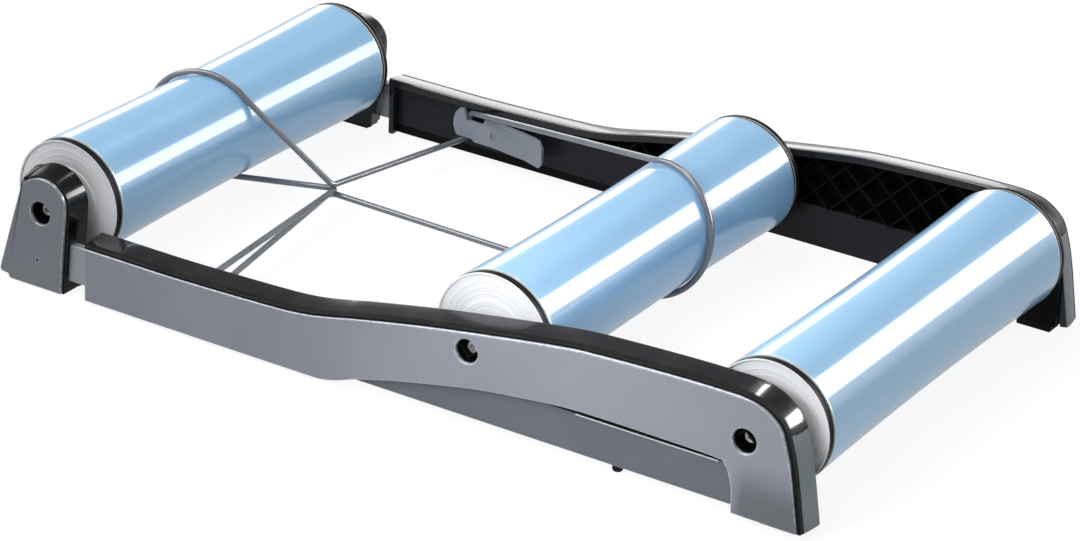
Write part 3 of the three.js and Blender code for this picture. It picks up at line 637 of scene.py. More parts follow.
@dataclass(frozen=True)
class Finish:
    """One finish: two close colours, gloss, relief, dust, and a lighter edge tone for wear and a painted
    edge highlight.
    """

    name: str
    first: Point3
    second: Point3
    roughness: float = 0.35
    roughness_spread: float = 0.08
    metallic: float = 0.0
    coat: float = 0.0
    coat_roughness: float = 0.03
    specular: float = 0.5
    relief: Relief = Relief.MOULDED
    relief_scale: float = 90.0
    relief_height: float = 0.02
    relief_strength: float = 0.6
    tone_scale: float = 12.0
    dust: float = 0.08
    dust_tone: Point3 = (176, 174, 170)
    dust_roughness: float = 0.5
    wear_and_highlight: float = 0.0
    wear_and_highlight_tone: Point3 = (150, 152, 156)

    def material(self) -> bpy.types.Material:
        """The finish's material, made on first use."""
        found = bpy.data.materials.get(self.name)
        if found:
            return found
        made = bpy.data.materials.new(self.name)
        made.use_nodes = True
        made.diffuse_color = srgb(*self.first)
        maker = NodeMaker(made.node_tree)
        place = maker.node("ShaderNodeTexCoord").outputs["Object"]
        color, rough, height = self.surface(maker, place)
        dust = GROUPS.place(maker, "settled_dust", vector=place, amount=self.dust)["Mask"]
        # Rounded edges get a lighter tone: partly wear, partly a painted highlight along the edge.
        if self.wear_and_highlight > 0:
            rubbed = GROUPS.place(maker, "rubbed_edges", vector=place, amount=self.wear_and_highlight)["Mask"]
            color = maker.mix(rubbed, color, srgb(*self.wear_and_highlight_tone))
        bump = maker.node("ShaderNodeBump", {
            "Strength": self.relief_strength, "Distance": self.relief_height * MM, "Height": height,
        })
        dusty = maker.maths("MULTIPLY", dust, self.dust_roughness)
        maker.feed(made.node_tree.nodes["Principled BSDF"], {
            "Base Color": maker.mix(dust, color, srgb(*self.dust_tone)),
            "Roughness": maker.maths("ADD", rough, dusty, True),
            "Normal": bump.outputs["Normal"],
            "Metallic": self.metallic,
            "Specular IOR Level": self.specular,
            "Coat Weight": self.coat,
            "Coat Roughness": self.coat_roughness,
        })
        return made

    def surface(self, maker: NodeMaker, place: Socket) -> tuple[Socket, Socket, Socket]:
        """Colour, roughness and height of the bare surface.

        Args:
            maker: the material's node maker.
            place: the surface's Object coordinates.

        Returns:
            The three sockets.
        """
        tone = GROUPS.place(
            maker, "tone_drift", vector=place, scale=self.tone_scale,
            first=srgb(*self.first), second=srgb(*self.second),
        )
        if self.relief is Relief.MOULDED:
            worked = GROUPS.place(maker, "moulded_skin", vector=place, peel_scale=self.relief_scale)
            lines = tone["Mask"]
        else:
            stretch = maker.node("ShaderNodeMapping", {"Scale": self.relief.value, "Vector": place})
            lengthened = stretch.outputs["Vector"]
            worked = GROUPS.place(maker, "drawn_lines", vector=lengthened, scale=self.relief_scale)
            lines = worked["Mask"]
        spread = self.roughness_spread
        rough = maker.ramp(lines, 0.0, 1.0, self.roughness - spread, self.roughness + spread)
        return tone["Color"], rough, worked["Height"]


@dataclass(frozen=True)
class CoverFinish(Finish):
    """The covers' finish, with painted shade darkening the rear foot low down. Its places are in metres."""

    foot_front: float = 0.335
    foot_rear: float = 0.352
    foot_top: float = 0.062
    foot_low: float = 0.022
    foot_shade: float = 0.8
    foot_shade_tone: Point3 = (72, 77, 82)

    def surface(self, maker: NodeMaker, place: Socket) -> tuple[Socket, Socket, Socket]:
        """Colour, roughness and height, with painted shade darkening the colour low down towards the foot's
        end.
        """
        color, rough, height = super().surface(maker, place)
        parts = maker.split(place)
        # Painted shade: the colour darkens towards the bottom of the rear foot.
        low = maker.ramp(parts["Z"], self.foot_low, self.foot_top, self.foot_shade, 0.0)
        rear = maker.ramp(parts["X"], self.foot_front, self.foot_rear)
        return maker.mix(maker.maths("MULTIPLY", low, rear), color, srgb(*self.foot_shade_tone)), rough, height


class Finishes:
    """Every finish of the rollers, by the piece that wears it."""

    ROLLER = Finish(
        "roller_blue_film", (144, 191, 229), (150, 197, 233), roughness=0.3, roughness_spread=0.012,
        coat=0.9, coat_roughness=0.05, relief=Relief.TURNED, relief_scale=30.0, relief_height=0.003,
        tone_scale=5.0, dust=0.02, dust_tone=(214, 224, 232), specular=0.35,
    )
    TUBE_EDGE = Finish(
        "roller_film_edge", (196, 206, 206), (182, 194, 196), roughness=0.3, metallic=0.4,
        relief=Relief.TURNED, relief_scale=60.0, dust=0.02,
    )
    RING = Finish(
        "ring_black_groove", (7, 8, 10), (10, 11, 14), roughness=0.5, relief=Relief.TURNED,
        relief_scale=60.0, dust=0.01, specular=0.1,
    )
    # A black copy of the ring for the end cap's flange side: painted shade in the gap between the cap and
    # the tube.
    CAP_SIDE_SHADE = replace(RING, name="end_cap_side_painted_shade", relief=Relief.MOULDED, relief_scale=90.0)
    END_CAP = Finish(
        "end_cap_pale_satin", (208, 210, 213), (200, 202, 205), roughness=0.32, roughness_spread=0.06,
        relief_scale=60.0, dust=0.03, dust_tone=(200, 200, 198),
    )
    BEARING = Finish(
        "bearing_ground_steel", (176, 179, 183), (160, 163, 168), roughness=0.25, metallic=1.0,
        relief=Relief.TURNED, relief_scale=80.0,
    )
    AXLE = Finish(
        "axle_drawn_steel", (182, 185, 189), (166, 169, 174), roughness=0.28, metallic=1.0,
        relief=Relief.TURNED, relief_scale=70.0,
    )
    BOLT = Finish(
        "bolt_zinc_steel", (190, 192, 196), (172, 175, 180), roughness=0.36, metallic=0.7,
        relief_scale=260.0, wear_and_highlight=0.4, wear_and_highlight_tone=(225, 226, 228),
    )
    SHELL = Finish(
        "shell_gloss_black", (23, 25, 28), (28, 30, 33), roughness=0.2, roughness_spread=0.03,
        coat=0.4, coat_roughness=0.04, relief_scale=70.0, relief_height=0.01, dust=0.015,
        wear_and_highlight=0.2, wear_and_highlight_tone=(70, 72, 75), specular=0.2,
    )
    # Darker than the shell: painted shade on the rim groove beside the cover, whose shape is real, and on
    # the crease line above the rear end face.
    SHELL_RIM_SHADE = Finish(
        "shell_rim_painted_shade", (7, 7, 9), (11, 11, 13), roughness=0.6, relief_scale=200.0,
        relief_height=0.03, dust=0.01, specular=0.15,
    )
    SHELL_INSIDE = Finish(
        "shell_inner_black", (5, 5, 7), (8, 8, 10), roughness=0.55, roughness_spread=0.1,
        relief_scale=160.0, relief_height=0.05, dust=0.01, specular=0.1,
    )
    CAP_BODY = Finish(
        "cap_body_black", (10, 12, 14), (14, 16, 18), roughness=0.17, roughness_spread=0.03,
        relief_scale=120.0, relief_height=0.01, dust=0.01, specular=0.25, wear_and_highlight=0.2,
        wear_and_highlight_tone=(60, 62, 66),
    )
    # A lighter copy of the black shell for the rear end face: painted light standing for the floor's
    # reflection on the glossy black shell.
    END_FACE = Finish(
        "shell_end_painted_light", (102, 114, 121), (110, 121, 128), roughness=0.34, relief_scale=70.0,
        dust=0.03, wear_and_highlight=0.4, wear_and_highlight_tone=(146, 152, 156), tone_scale=25.0,
    )
    # The cover's near-white edge tone is mostly a painted highlight along its rounded edges, with some
    # wear.
    COVER = CoverFinish(
        "cover_satin_grey", (117, 120, 130), (125, 128, 137), roughness=0.34, roughness_spread=0.05,
        metallic=0.3, coat=0.5, coat_roughness=0.12, relief_scale=110.0, relief_height=0.015,
        tone_scale=7.0, dust=0.02, wear_and_highlight=0.3, wear_and_highlight_tone=(205, 208, 213),
    )
    CAP_PLATE = replace(COVER, name="plate_satin_grey", first=(100, 103, 112), second=(107, 110, 118))
    COVER_PLAIN = replace(
        COVER, name="cover_screw_grey", first=(110, 114, 122), second=(116, 120, 128), wear_and_highlight=0.0
    )
    BEAM = Finish(
        "beam_satin_slate", (82, 87, 96), (89, 94, 102), roughness=0.38, metallic=0.3,
        relief=Relief.DRAWN_ALONG, relief_scale=50.0, relief_height=0.004, tone_scale=8.0, dust=0.03,
        wear_and_highlight=0.4, wear_and_highlight_tone=(180, 184, 190),
    )
    # A light copy of the beam finish for the bead under the slot: a painted highlight of the beam's top
    # edge.
    BEAM_LIP = replace(
        BEAM, name="beam_painted_highlight", first=(200, 203, 208), second=(190, 194, 199), roughness=0.3,
        tone_scale=12.0, dust=0.02, wear_and_highlight=0.0,
    )
    BEAM_INSIDE = replace(
        BEAM, name="beam_inner_black", first=(14, 16, 21), second=(22, 24, 29), roughness=0.36,
        metallic=0.0, dust=0.01, wear_and_highlight=0.3, wear_and_highlight_tone=(60, 63, 70), specular=0.25,
    )
    BAR = replace(
        BEAM, name="bar_anodised_silver", first=(142, 148, 156), second=(150, 155, 163), roughness=0.34,
        roughness_spread=0.02, metallic=0.5, relief_height=0.001, tone_scale=12.0, wear_and_highlight=0.5,
        wear_and_highlight_tone=(205, 208, 212),
    )
    CLIP = Finish(
        "clip_grey_nylon", (120, 126, 136), (131, 136, 145), roughness=0.34, relief_scale=120.0,
        relief_height=0.03, wear_and_highlight=0.4, wear_and_highlight_tone=(205, 208, 214), dust=0.04,
    )
    CLIP_PLAIN = replace(CLIP, name="clip_screw_grey", wear_and_highlight=0.0)
    COLLAR = Finish(
        "collar_black_nylon", (14, 15, 17), (19, 20, 22), roughness=0.42, relief_scale=200.0,
        relief_height=0.04, specular=0.3,
    )
    RUBBER = Finish(
        "foot_black_rubber", (14, 15, 17), (22, 23, 25), roughness=0.8, roughness_spread=0.1,
        relief_scale=700.0, relief_height=0.12, dust=0.1, dust_tone=(110, 108, 104), specular=0.25,
    )
    BELT = Finish(
        "belt_grey_cord", (92, 96, 104), (104, 108, 116), roughness=0.3, roughness_spread=0.03,
        relief_scale=300.0, tone_scale=30.0, dust=0.03, coat=0.7, coat_roughness=0.18, specular=0.6,
    )


def hand_over(piece: Piece, body: str, slot: str, finish: Finish, *nodes: str) -> None:
    """Gives a piece its finish, its body and the CAD nodes that it stands for.

    Args:
        piece: the finished mesh object.
        body: the CAD body that it rides on.
        slot: not used.
        finish: its finish, put first among its materials.
        nodes: the CAD nodes that it replaces.
    """
    if piece.data.materials:
        piece.data.materials[0] = finish.material()
    else:
        piece.data.materials.append(finish.material())
    if finish.wear_and_highlight > 0:
        mark_toned_edges(piece.data)
    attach(piece, body)
    if nodes:
        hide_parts(*nodes)
    count = len(piece.data.polygons)
    LOG.info("%s: %d faces on %s, for %s", piece.name, count, body, list(nodes) or "no node")


# Studio and camera


@dataclass(frozen=True)
class StudioCamera:
    """The photograph's view, found from the rails and rollers."""

    name: str = "photo_view"
    place: Point3 = (1.6582679, -2.6776876, 1.5091982)
    yaw: float = 0.5944827
    pitch: float = -0.4308649
    roll: float = -0.0243704
    lens: float = 134.2683
    sensor: float = 36.0
    shift: Point2 = (0.141478, -0.037628)
    clip: Point2 = (0.05, 60.0)

    def make(self) -> None:
        """Adds the camera and makes it the scene's own."""
        forward = Vector((
            -math.sin(self.yaw) * math.cos(self.pitch), math.cos(self.yaw) * math.cos(self.pitch),
            math.sin(self.pitch),
        ))
        level = Vector((math.cos(self.yaw), math.sin(self.yaw), 0.0))
        down = forward.cross(level)
        right = level * math.cos(self.roll) + down * math.sin(self.roll)
        lower = down * math.cos(self.roll) - level * math.sin(self.roll)
        turn = Matrix((right, -lower, -forward)).transposed().to_4x4()
        data = bpy.data.cameras.new(self.name)
        data.sensor_fit = "HORIZONTAL"
        data.sensor_width = self.sensor
        data.lens = self.lens
        data.shift_x, data.shift_y = self.shift
        data.clip_start, data.clip_end = self.clip
        camera = linked(self.name, data)
        camera.matrix_world = Matrix.Translation(self.place) @ turn
        bpy.context.scene.camera = camera


@dataclass(frozen=True)
class Softbox:
    """One studio lamp: a soft panel that looks at a point, seen only in gloss unless told otherwise."""

    name: str
    place: Point3
    target: Point3
    size: Point2
    radiance: float
    long_way: Point3 = (0.0, 1.0, 0.0)
    lights_gloss: bool = True
    lights_rest: bool = False
    spread: float = 180.0

    def make(self) -> None:
        """Adds the lamp, with the first of its sizes along its long way."""
        data = bpy.data.lights.new(self.name, "AREA")
        data.shape = "RECTANGLE"
        data.size, data.size_y = self.size
        data.energy = self.radiance * math.pi * self.size[0] * self.size[1]
        data.spread = math.radians(self.spread)
        back = (Vector(self.place) - Vector(self.target)).normalized()
        along = Vector(self.long_way)
        along = (along - back * along.dot(back)).normalized()
        turn = Matrix((along, back.cross(along), back)).transposed().to_4x4()
        lamp = linked(self.name, data)
        lamp.matrix_world = Matrix.Translation(self.place) @ turn
        lamp.visible_camera = False
        lamp.visible_glossy = self.lights_gloss
        if not self.lights_rest:
            lamp.visible_diffuse = False
            lamp.visible_transmission = False


LEVEL_X: Point3 = (1.0, 0.0, 0.0)
LAMPS: tuple[Softbox, ...] = (
    Softbox(
        "key_softbox", (-0.6, -1.4, 2.6), (0.0, 0.0, 0.05), (1.2, 1.2), 10.0, LEVEL_X,
        lights_rest=True,
    ),
    Softbox(
        "wing_pool_lamp", (0.16, -0.62, 0.36), (0.20, -0.24, 0.10), (0.2, 0.2), 6.5, LEVEL_X,
        lights_gloss=False, lights_rest=True, spread=100.0,
    ),
    Softbox("roller_streak_panel", (0.95, 1.29, 0.64), (0.0, 1.29, 0.08), (1.1, 0.58), 9.0),
    Softbox("horizon_panel", (-1.8, 2.34, 0.55), (0.0, 0.0, 0.1), (2.4, 0.7), 2.4, (1.0, 0.8, 0.0)),
    Softbox("left_window_panel", (-1.6, -1.0, 1.85), (0.1, -0.24, 0.08), (1.5, 1.2), 9.0, LEVEL_X),
    Softbox(
        "corner_panel", (2.21, 1.24, 1.19), (0.383, -0.23, 0.096), (0.9, 1.22), 31.0,
        (-0.456, 0.822, -0.344),
    ),
    Softbox(
        "overhead_strip", (-0.10, 1.12, 2.0), (0.354, -0.228, 0.113), (0.8, 0.16), 27.0,
        (-0.05, 0.27, -0.21),
    ),
)


@dataclass(frozen=True)
class Studio:
    """Pale floor, white surroundings and soft lamps."""

    ambient: float = 0.72
    right_dimming: float = 0.5
    dark_sky: float = 0.22
    dark_sky_rise: Point2 = (0.10, 0.40)
    floor_reach: float = 9000.0
    floor_depth: float = 20.0
    floor_show: float = 0.88
    floor_level: float = 1.03
    floor_gloss_level: float = 0.6
    floor_bounce: float = 0.74
    floor_pale: float = 0.9

    def make(self) -> None:
        """Adds the floor, the world and the lamps."""
        reach = self.floor_reach
        work = MeshWork().box((-reach, -reach, -self.floor_depth), (reach, reach, 0.0))
        floor = work.done("studio_floor")
        floor.data.materials.append(self._floor_material())
        self._world()
        for lamp in LAMPS:
            lamp.make()
        bpy.context.scene.view_settings.view_transform = "Standard"

    @staticmethod
    def _rays(maker: NodeMaker) -> tuple[Socket, Socket]:
        """Whether the camera looks, and whether gloss or glass does."""
        path = maker.node("ShaderNodeLightPath").outputs
        glossy = maker.maths("MAXIMUM", path["Is Glossy Ray"], path["Is Transmission Ray"])
        return path["Is Camera Ray"], glossy

    def _floor_material(self) -> bpy.types.Material:
        """White floor that keeps a faint shadow."""
        made = bpy.data.materials.new("studio_floor_white")
        made.use_nodes = True
        made.node_tree.nodes.clear()
        maker = NodeMaker(made.node_tree)
        camera, glossy = self._rays(maker)
        bounce, pale = ((level, level, level, 1.0) for level in (self.floor_bounce, self.floor_pale))
        plain = maker.node("ShaderNodeBsdfDiffuse", {"Color": maker.mix(camera, bounce, pale)})
        level = maker.ramp(camera, 0.0, 1.0, self.floor_gloss_level, self.floor_level)
        shown = maker.node("ShaderNodeEmission", {"Strength": level})
        seen = maker.maths("MULTIPLY", maker.maths("MAXIMUM", camera, glossy), self.floor_show)
        mixed = maker.node("ShaderNodeMixShader", {0: seen, 1: plain.outputs[0], 2: shown.outputs[0]})
        maker.node("ShaderNodeOutputMaterial", {"Surface": mixed.outputs[0]})
        return made

    def _world(self) -> None:
        """White for the camera, white low and dim high for gloss, and soft from the left for the rest."""
        world = bpy.data.worlds.new("studio_surroundings")
        bpy.context.scene.world = world
        world.use_nodes = True
        world.node_tree.nodes.clear()
        maker = NodeMaker(world.node_tree)
        camera, glossy = self._rays(maker)
        parts = maker.split(maker.node("ShaderNodeTexCoord").outputs["Generated"])
        dim = maker.ramp(parts["Z"], *self.dark_sky_rise, 1.0, self.dark_sky)
        left, right = (self.ambient * (1 + way * self.right_dimming) for way in (1, -1))
        soft = maker.ramp(parts["X"], -1.0, 1.0, left, right)
        shown = maker.ramp(camera, 0.0, 1.0, maker.ramp(glossy, 0.0, 1.0, soft, dim), 1.0)
        shared = maker.node("ShaderNodeBackground", {"Color": (1.0, 1.0, 1.0, 1.0), "Strength": shown})
        maker.node("ShaderNodeOutputWorld", {"Surface": shared.outputs[0]})


# Rollers


def turned_step(
    radius: float, level: float, rise: float, slope: float, width: float = 1.0
) -> list[Point2]:
    """A fine turned step, as corners of a face's profile."""
    return [
        (radius, level), (radius + slope, level + rise), (radius + width, level + rise),
        (radius + width + slope, level),
    ]


@dataclass
class Roller:
    """One roller: a parabolic tube, two groove rings, two end caps and two bearings."""

    name: str
    axle_x: float
    wall: float = 3.0
    tube_stations: int = 40
    bare_edge: float = 1.4
    ring_drop: float = 1.2
    ring_width: float = 3.7
    ring_groove: float = 0.6
    flange_drop: float = 0.5
    flange_width: float = 4.2
    rim_width: float = 1.6
    cap_recess: float = 1.2
    cap_web: float = 5.4
    spigot_length: float = 16.0
    spigot_wall: float = 3.5
    hub_radius: float = 30.0
    hub_back: float = 19.0
    hub_steps: tuple[float, ...] = (18.0, 23.5)
    web_steps: tuple[float, ...] = (34.5, 39.5, 44.5)
    bearing_radius: float = 13.0
    bearing_lip: float = 4.0
    bearing_depth: float = 0.7
    bearing_width: float = 8.0
    shield_recess: float = 0.6
    race_widths: Point2 = (1.8, 1.9)
    edge_margin: float = 0.05
    bore_margin: float = 0.6
    band_inset: Point2 = (0.4, 0.7)
    sides: int = 128
    bearing_sides: int = 64

    @property
    def body(self) -> str:
        """The CAD body that the roller rides on."""
        return f"{self.name}_roller"

    def _turned(self, side: Side, word: str, profile: Sequence[Point2], sides: int) -> Piece:
        """A smooth turned piece at one end of the roller."""
        work = MeshWork().lathe(profile, sides, self.axle_x)
        return smooth(work.done(side.named(f"{self.body}_{word}"), side))

    def build(self) -> None:
        """Makes every piece of the roller."""
        self._tube()
        for side in Side:
            self._groove_ring(side)
            self._end_cap(side)
            self._bearing(side)

    def _from_axle(self, face: bpy.types.MeshPolygon) -> float:
        """A face's distance from the roller's axis, in metres."""
        middle = face.center
        return math.hypot(middle.x - self.axle_x * MM, middle.z - PLAN.axle_height * MM)

    def _tube(self) -> None:
        """The tube, with a bare bright edge at each end."""
        end = PLAN.tube_end
        places = [end - 2 * end * i / self.tube_stations for i in range(self.tube_stations + 1)]
        edge = [end - self.bare_edge, self.bare_edge - end]
        outer = [(PLAN.tube_radius(y), y) for y in sorted(set(places + edge), reverse=True)]
        bore = PLAN.waist - self.wall
        profile = filleted([(bore, -end), (bore, end), *outer], 0.5, 4, 0.5)
        piece = MeshWork().lathe(profile, self.sides, self.axle_x).done(f"{self.body}_tube_skin")
        limit = (end - self.bare_edge - self.edge_margin) * MM
        inner = (bore + self.bore_margin) * MM
        repaint(
            piece, Finishes.TUBE_EDGE,
            lambda face: abs(face.center.y) > limit or self._from_axle(face) < inner,
        )
        hand_over(smooth(piece), self.body, "roller", Finishes.ROLLER, f"{self.body}_tube")

    def _groove_ring(self, side: Side) -> None:
        """The ring beside the tube, with a shallow groove in its middle."""
        y0 = PLAN.tube_end + PLAN.fit_gap
        y1 = y0 + self.ring_width
        inner = PLAN.waist - self.wall
        outer = PLAN.tube_radius(PLAN.tube_end) - self.ring_drop
        profile = filleted([
            (inner, -y1), (inner, -y0), (outer, -y0), (outer - self.ring_groove, -(y0 + y1) / 2),
            (outer, -y1),
        ], 0.5, 4)
        piece = self._turned(side, "polished_ring", profile, self.sides)
        node = side.named(f"{self.body}_groove_ring")
        hand_over(piece, self.body, "groove_ring", Finishes.RING, node)

    def _end_cap(self, side: Side) -> None:
        """The pale end cap, whose face has a rim, a hub and fine turned steps."""
        rim = PLAN.tube_radius(PLAN.tube_end) - self.flange_drop
        seat = self.bearing_radius + PLAN.fit_gap
        spigot = PLAN.waist - self.wall - PLAN.fit_gap
        shoulder = self.bearing_depth + self.bearing_width + PLAN.fit_gap
        inner_end = self.flange_width + self.ring_width + 2 * PLAN.fit_gap + self.spigot_length
        recess, lip = self.cap_recess, self.bearing_radius - self.bearing_lip
        face = [(seat, 0.0)]
        for radius in self.hub_steps:
            face += turned_step(radius, 0.0, 0.2, 0.35)
        face += [(self.hub_radius, 0.0), (self.hub_radius, recess)]
        for radius in self.web_steps:
            face += turned_step(radius, recess, -0.15, 0.4)
        face += [(rim - self.rim_width, recess), (rim - self.rim_width, 0.0), (rim, 0.0)]
        back = [
            (rim, self.flange_width), (spigot, self.flange_width), (spigot, inner_end),
            (spigot - self.spigot_wall, inner_end), (spigot - self.spigot_wall, self.cap_web),
            (self.hub_back, self.cap_web), (self.hub_back, shoulder + recess), (lip, shoulder + recess),
            (lip, shoulder), (seat, shoulder),
        ]
        profile = filleted([(r, depth - PLAN.roller_face) for r, depth in face + back], 0.35, 3)
        piece = self._turned(side, "end_disc", profile, self.sides)
        band_floor = (rim - self.band_inset[0]) * MM
        band_start = (PLAN.roller_face - self.band_inset[1]) * MM
        # The flange's side beside the ring is painted black, as shade in the gap between the cap and the
        # tube.
        repaint(
            piece, Finishes.CAP_SIDE_SHADE,
            lambda face: self._from_axle(face) > band_floor and abs(face.center.y) < band_start,
        )
        hand_over(piece, self.body, "end_cap", Finishes.END_CAP, side.named(f"{self.body}_end_cap"))

    def _bearing(self, side: Side) -> None:
        """The bearing: two races with a recessed shield between them."""
        bore, outer = PLAN.axle_radius + PLAN.fit_gap, self.bearing_radius
        front, back = self.bearing_depth, self.bearing_depth + self.bearing_width
        inner_race, outer_race = bore + self.race_widths[0], outer - self.race_widths[1]
        shield = front + self.shield_recess
        profile = [
            (bore, front), (inner_race, front), (inner_race, shield), (outer_race, shield),
            (outer_race, front), (outer, front), (outer, back), (bore, back),
        ]
        profile = filleted([(r, depth - PLAN.roller_face) for r, depth in profile], 0.25, 3)
        piece = self._turned(side, "ball_bearing", profile, self.bearing_sides)
        node = side.named(f"{self.body}_bearing")
        hand_over(piece, self.body, "bearing_steel", Finishes.BEARING, node)


# Screws


@dataclass(frozen=True)
class Screw:
    """A screw along Y whose head has a hexagon socket."""

    head_radius: float
    head_height: float
    shank_radius: float
    socket_radius: float
    socket_depth: float
    sides: int = 48

    def make(self, name: str, x: float, z: float, head_y: float, tip_y: float) -> Piece:
        """Makes the screw.

        Args:
            name: the screw's name.
            x: X of its axis.
            z: Z of its axis.
            head_y: Y of its head's face.
            tip_y: Y of its tip.

        Returns:
            The screw's object.
        """
        way = 1.0 if tip_y > head_y else -1.0
        seat = head_y + way * self.head_height
        profile = filleted([
            (0.0, head_y), (self.head_radius, head_y), (self.head_radius, seat),
            (self.shank_radius, seat), (self.shank_radius, tip_y), (0.0, tip_y),
        ], 0.45, 3)
        body = MeshWork().lathe(profile, self.sides, x, z).done(name)
        mouth, floor = head_y - way * 2, head_y + way * self.socket_depth
        corners = [(0.0, mouth), (self.socket_radius, mouth), (self.socket_radius, floor), (0.0, floor)]
        socket = MeshWork().lathe(corners, HEXAGON, x, z).done("socket_cutter")
        return smooth(carved(body, socket), angle=30.0)

    def in_place_of(self, node: str, name: str, head_inside: bool) -> Piece:
        """Makes the screw in a CAD node's box, with its head towards the middle or the outside."""
        low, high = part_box(node)
        ends = sorted((low.y / MM, high.y / MM), key=abs, reverse=not head_inside)
        return self.make(name, (low.x + high.x) / 2 / MM, (low.z + high.z) / 2 / MM, *ends)


CLIP_SCREW = Screw(3.6, 1.8, 1.7, 1.2, 0.4)
CAP_SCREW = Screw(4.4, 2.0, 2.4, 1.7, 1.6)
AXLE_BOLT = Screw(5.2, 6.0, 3.0, 2.9, 3.0)


# Rails


RAIL_CROWN_SHARES: tuple[Point2, ...] = (
    (0.000, 0.461), (0.066, 0.461), (0.133, 0.462), (0.206, 0.474), (0.273, 0.489), (0.309, 0.502),
    (0.340, 0.527), (0.373, 0.570), (0.406, 0.619), (0.501, 0.742), (0.588, 0.838), (0.687, 0.936),
    (0.740, 0.966), (0.838, 0.994), (0.903, 1.000), (0.927, 0.992), (0.946, 0.964), (0.961, 0.908),
    (0.973, 0.827), (0.980, 0.705), (0.985, 0.587), (0.990, 0.426), (1.000, 0.033),
)
RAIL_LOWER_SHARES: tuple[Point2, ...] = (
    (0.915, 0.033), (0.913, 0.226), (0.909, 0.334), (0.903, 0.402), (0.891, 0.443), (0.817, 0.452),
    (0.744, 0.454), (0.690, 0.443), (0.628, 0.400), (0.565, 0.342), (0.478, 0.223), (0.431, 0.147),
    (0.406, 0.103), (0.391, 0.068), (0.375, 0.032), (0.355, 0.004), (0.338, 0.000), (0.000, 0.000),
)
CAP_SHARES: tuple[Point2, ...] = (
    (0.000, 0.070), (0.029, 0.041), (0.120, 0.040), (0.149, 0.000), (0.914, 0.000), (0.959, 0.414),
    (1.000, 0.738), (0.981, 0.856), (0.924, 0.923), (0.837, 0.974), (0.728, 1.000), (0.605, 0.999),
    (0.489, 0.972), (0.396, 0.929), (0.332, 0.863),
)
BAND_SECTION: tuple[Point2, ...] = (
    (0.8, 0.5), (0.8, 2.2), (1.5, 2.9), (5.4, 3.9), (8.7, 4.7), (17.3, 6.2), (25.2, 6.7), (26.0, 5.8),
    (26.0, -0.5), (23.4, -0.5), (23.4, 3.2), (5.6, 0.5),
)
CAP_BODY_SECTION: tuple[Point2, ...] = (
    (1.2, 3.3), (1.8, 3.6), (2.0, 4.2), (3.2, 10.0), (4.6, 17.0), (5.8, 23.8), (6.0, 24.5),
    (5.7, 25.1), (5.1, 25.4),
)
# A node's word, its piece's word, the width of the rounding, the slot and the finish.
RefinedRow = tuple[str, str, float, str, Finish]


def hole_cutter(x: float, z: float, radius: float, rounding: float, depth: float = 5.0) -> Piece:
    """A cutter that leaves a round hole with a rounded mouth on the near outer face."""
    face = PLAN.near(0.0)
    wide, steps, overrun = radius + rounding, 5, 2.0
    profile = [(0.0, face - overrun), (wide, face - overrun)]
    for step in range(steps + 1):
        turn = math.pi / 2 * step / steps
        profile.append((wide - rounding * math.sin(turn), face + rounding - rounding * math.cos(turn)))
    profile += [(radius, face + depth), (0.0, face + depth)]
    return MeshWork().lathe(profile, HOLE_SIDES, x, z).done("hole_cutter")


def round_cutter(radius: float, depth: float, sides: int, x: float, z: float = PLAN.axle_height) -> Piece:
    """A cutter for a straight round hole from the near outer face to a depth."""
    start, end = PLAN.near(0.0), PLAN.near(depth)
    corners = [(0.0, start), (radius, start), (radius, end), (0.0, end)]
    return MeshWork().lathe(corners, sides, x, z).done("round_cutter")


def edge_rounded_plate(
    outline: Sequence[Point2], depth: float, rounding: Sequence[float], steps: int = 6
) -> Piece:
    """A near-side plate whose outer edge is rounded.

    Args:
        outline: the plate's outline in X and Z.
        depth: depth of its back.
        rounding: radius of the outer edge's rounding at each of the outline's points.
        steps: stretches across the rounding.

    Returns:
        The plate's object, named for later.
    """
    rings = []
    directions = outward(outline, True)
    for step in range(steps + 1):
        turn = math.pi / 2 * step / steps
        back, deep = 1 - math.sin(turn), 1 - math.cos(turn)
        rings.append([
            Vector((x - dx * radius * back, PLAN.near(radius * deep), z - dz * radius * back))
            for (x, z), (dx, dz), radius in zip(outline, directions, rounding)
        ])
    rings.append([Vector((x, PLAN.near(depth), z)) for x, z in outline])
    return MeshWork().skin(rings).done("rounded_plate")


@dataclass
class SidePart:
    """What the rails and the front ends share: a side and the CAD nodes."""

    side: Side
    nodes: dict[str, Piece]
    outer_skin: float = 6.4

    def _refine(self, body: str, rows: Sequence[RefinedRow]) -> None:
        """Hands over CAD solids with rounded edges, one for each row, and the beam black inside."""
        for word, name, width, slot, finish in rows:
            piece = refined(self.nodes[self.side.named(word)], self.side.named(name), width)
            if finish is Finishes.BEAM:
                outer = (PLAN.half_width - self.outer_skin) * MM
                repaint(piece, Finishes.BEAM_INSIDE, lambda face: abs(face.center.y) < outer)
            hand_over(piece, body, slot, finish, self.side.named(word))


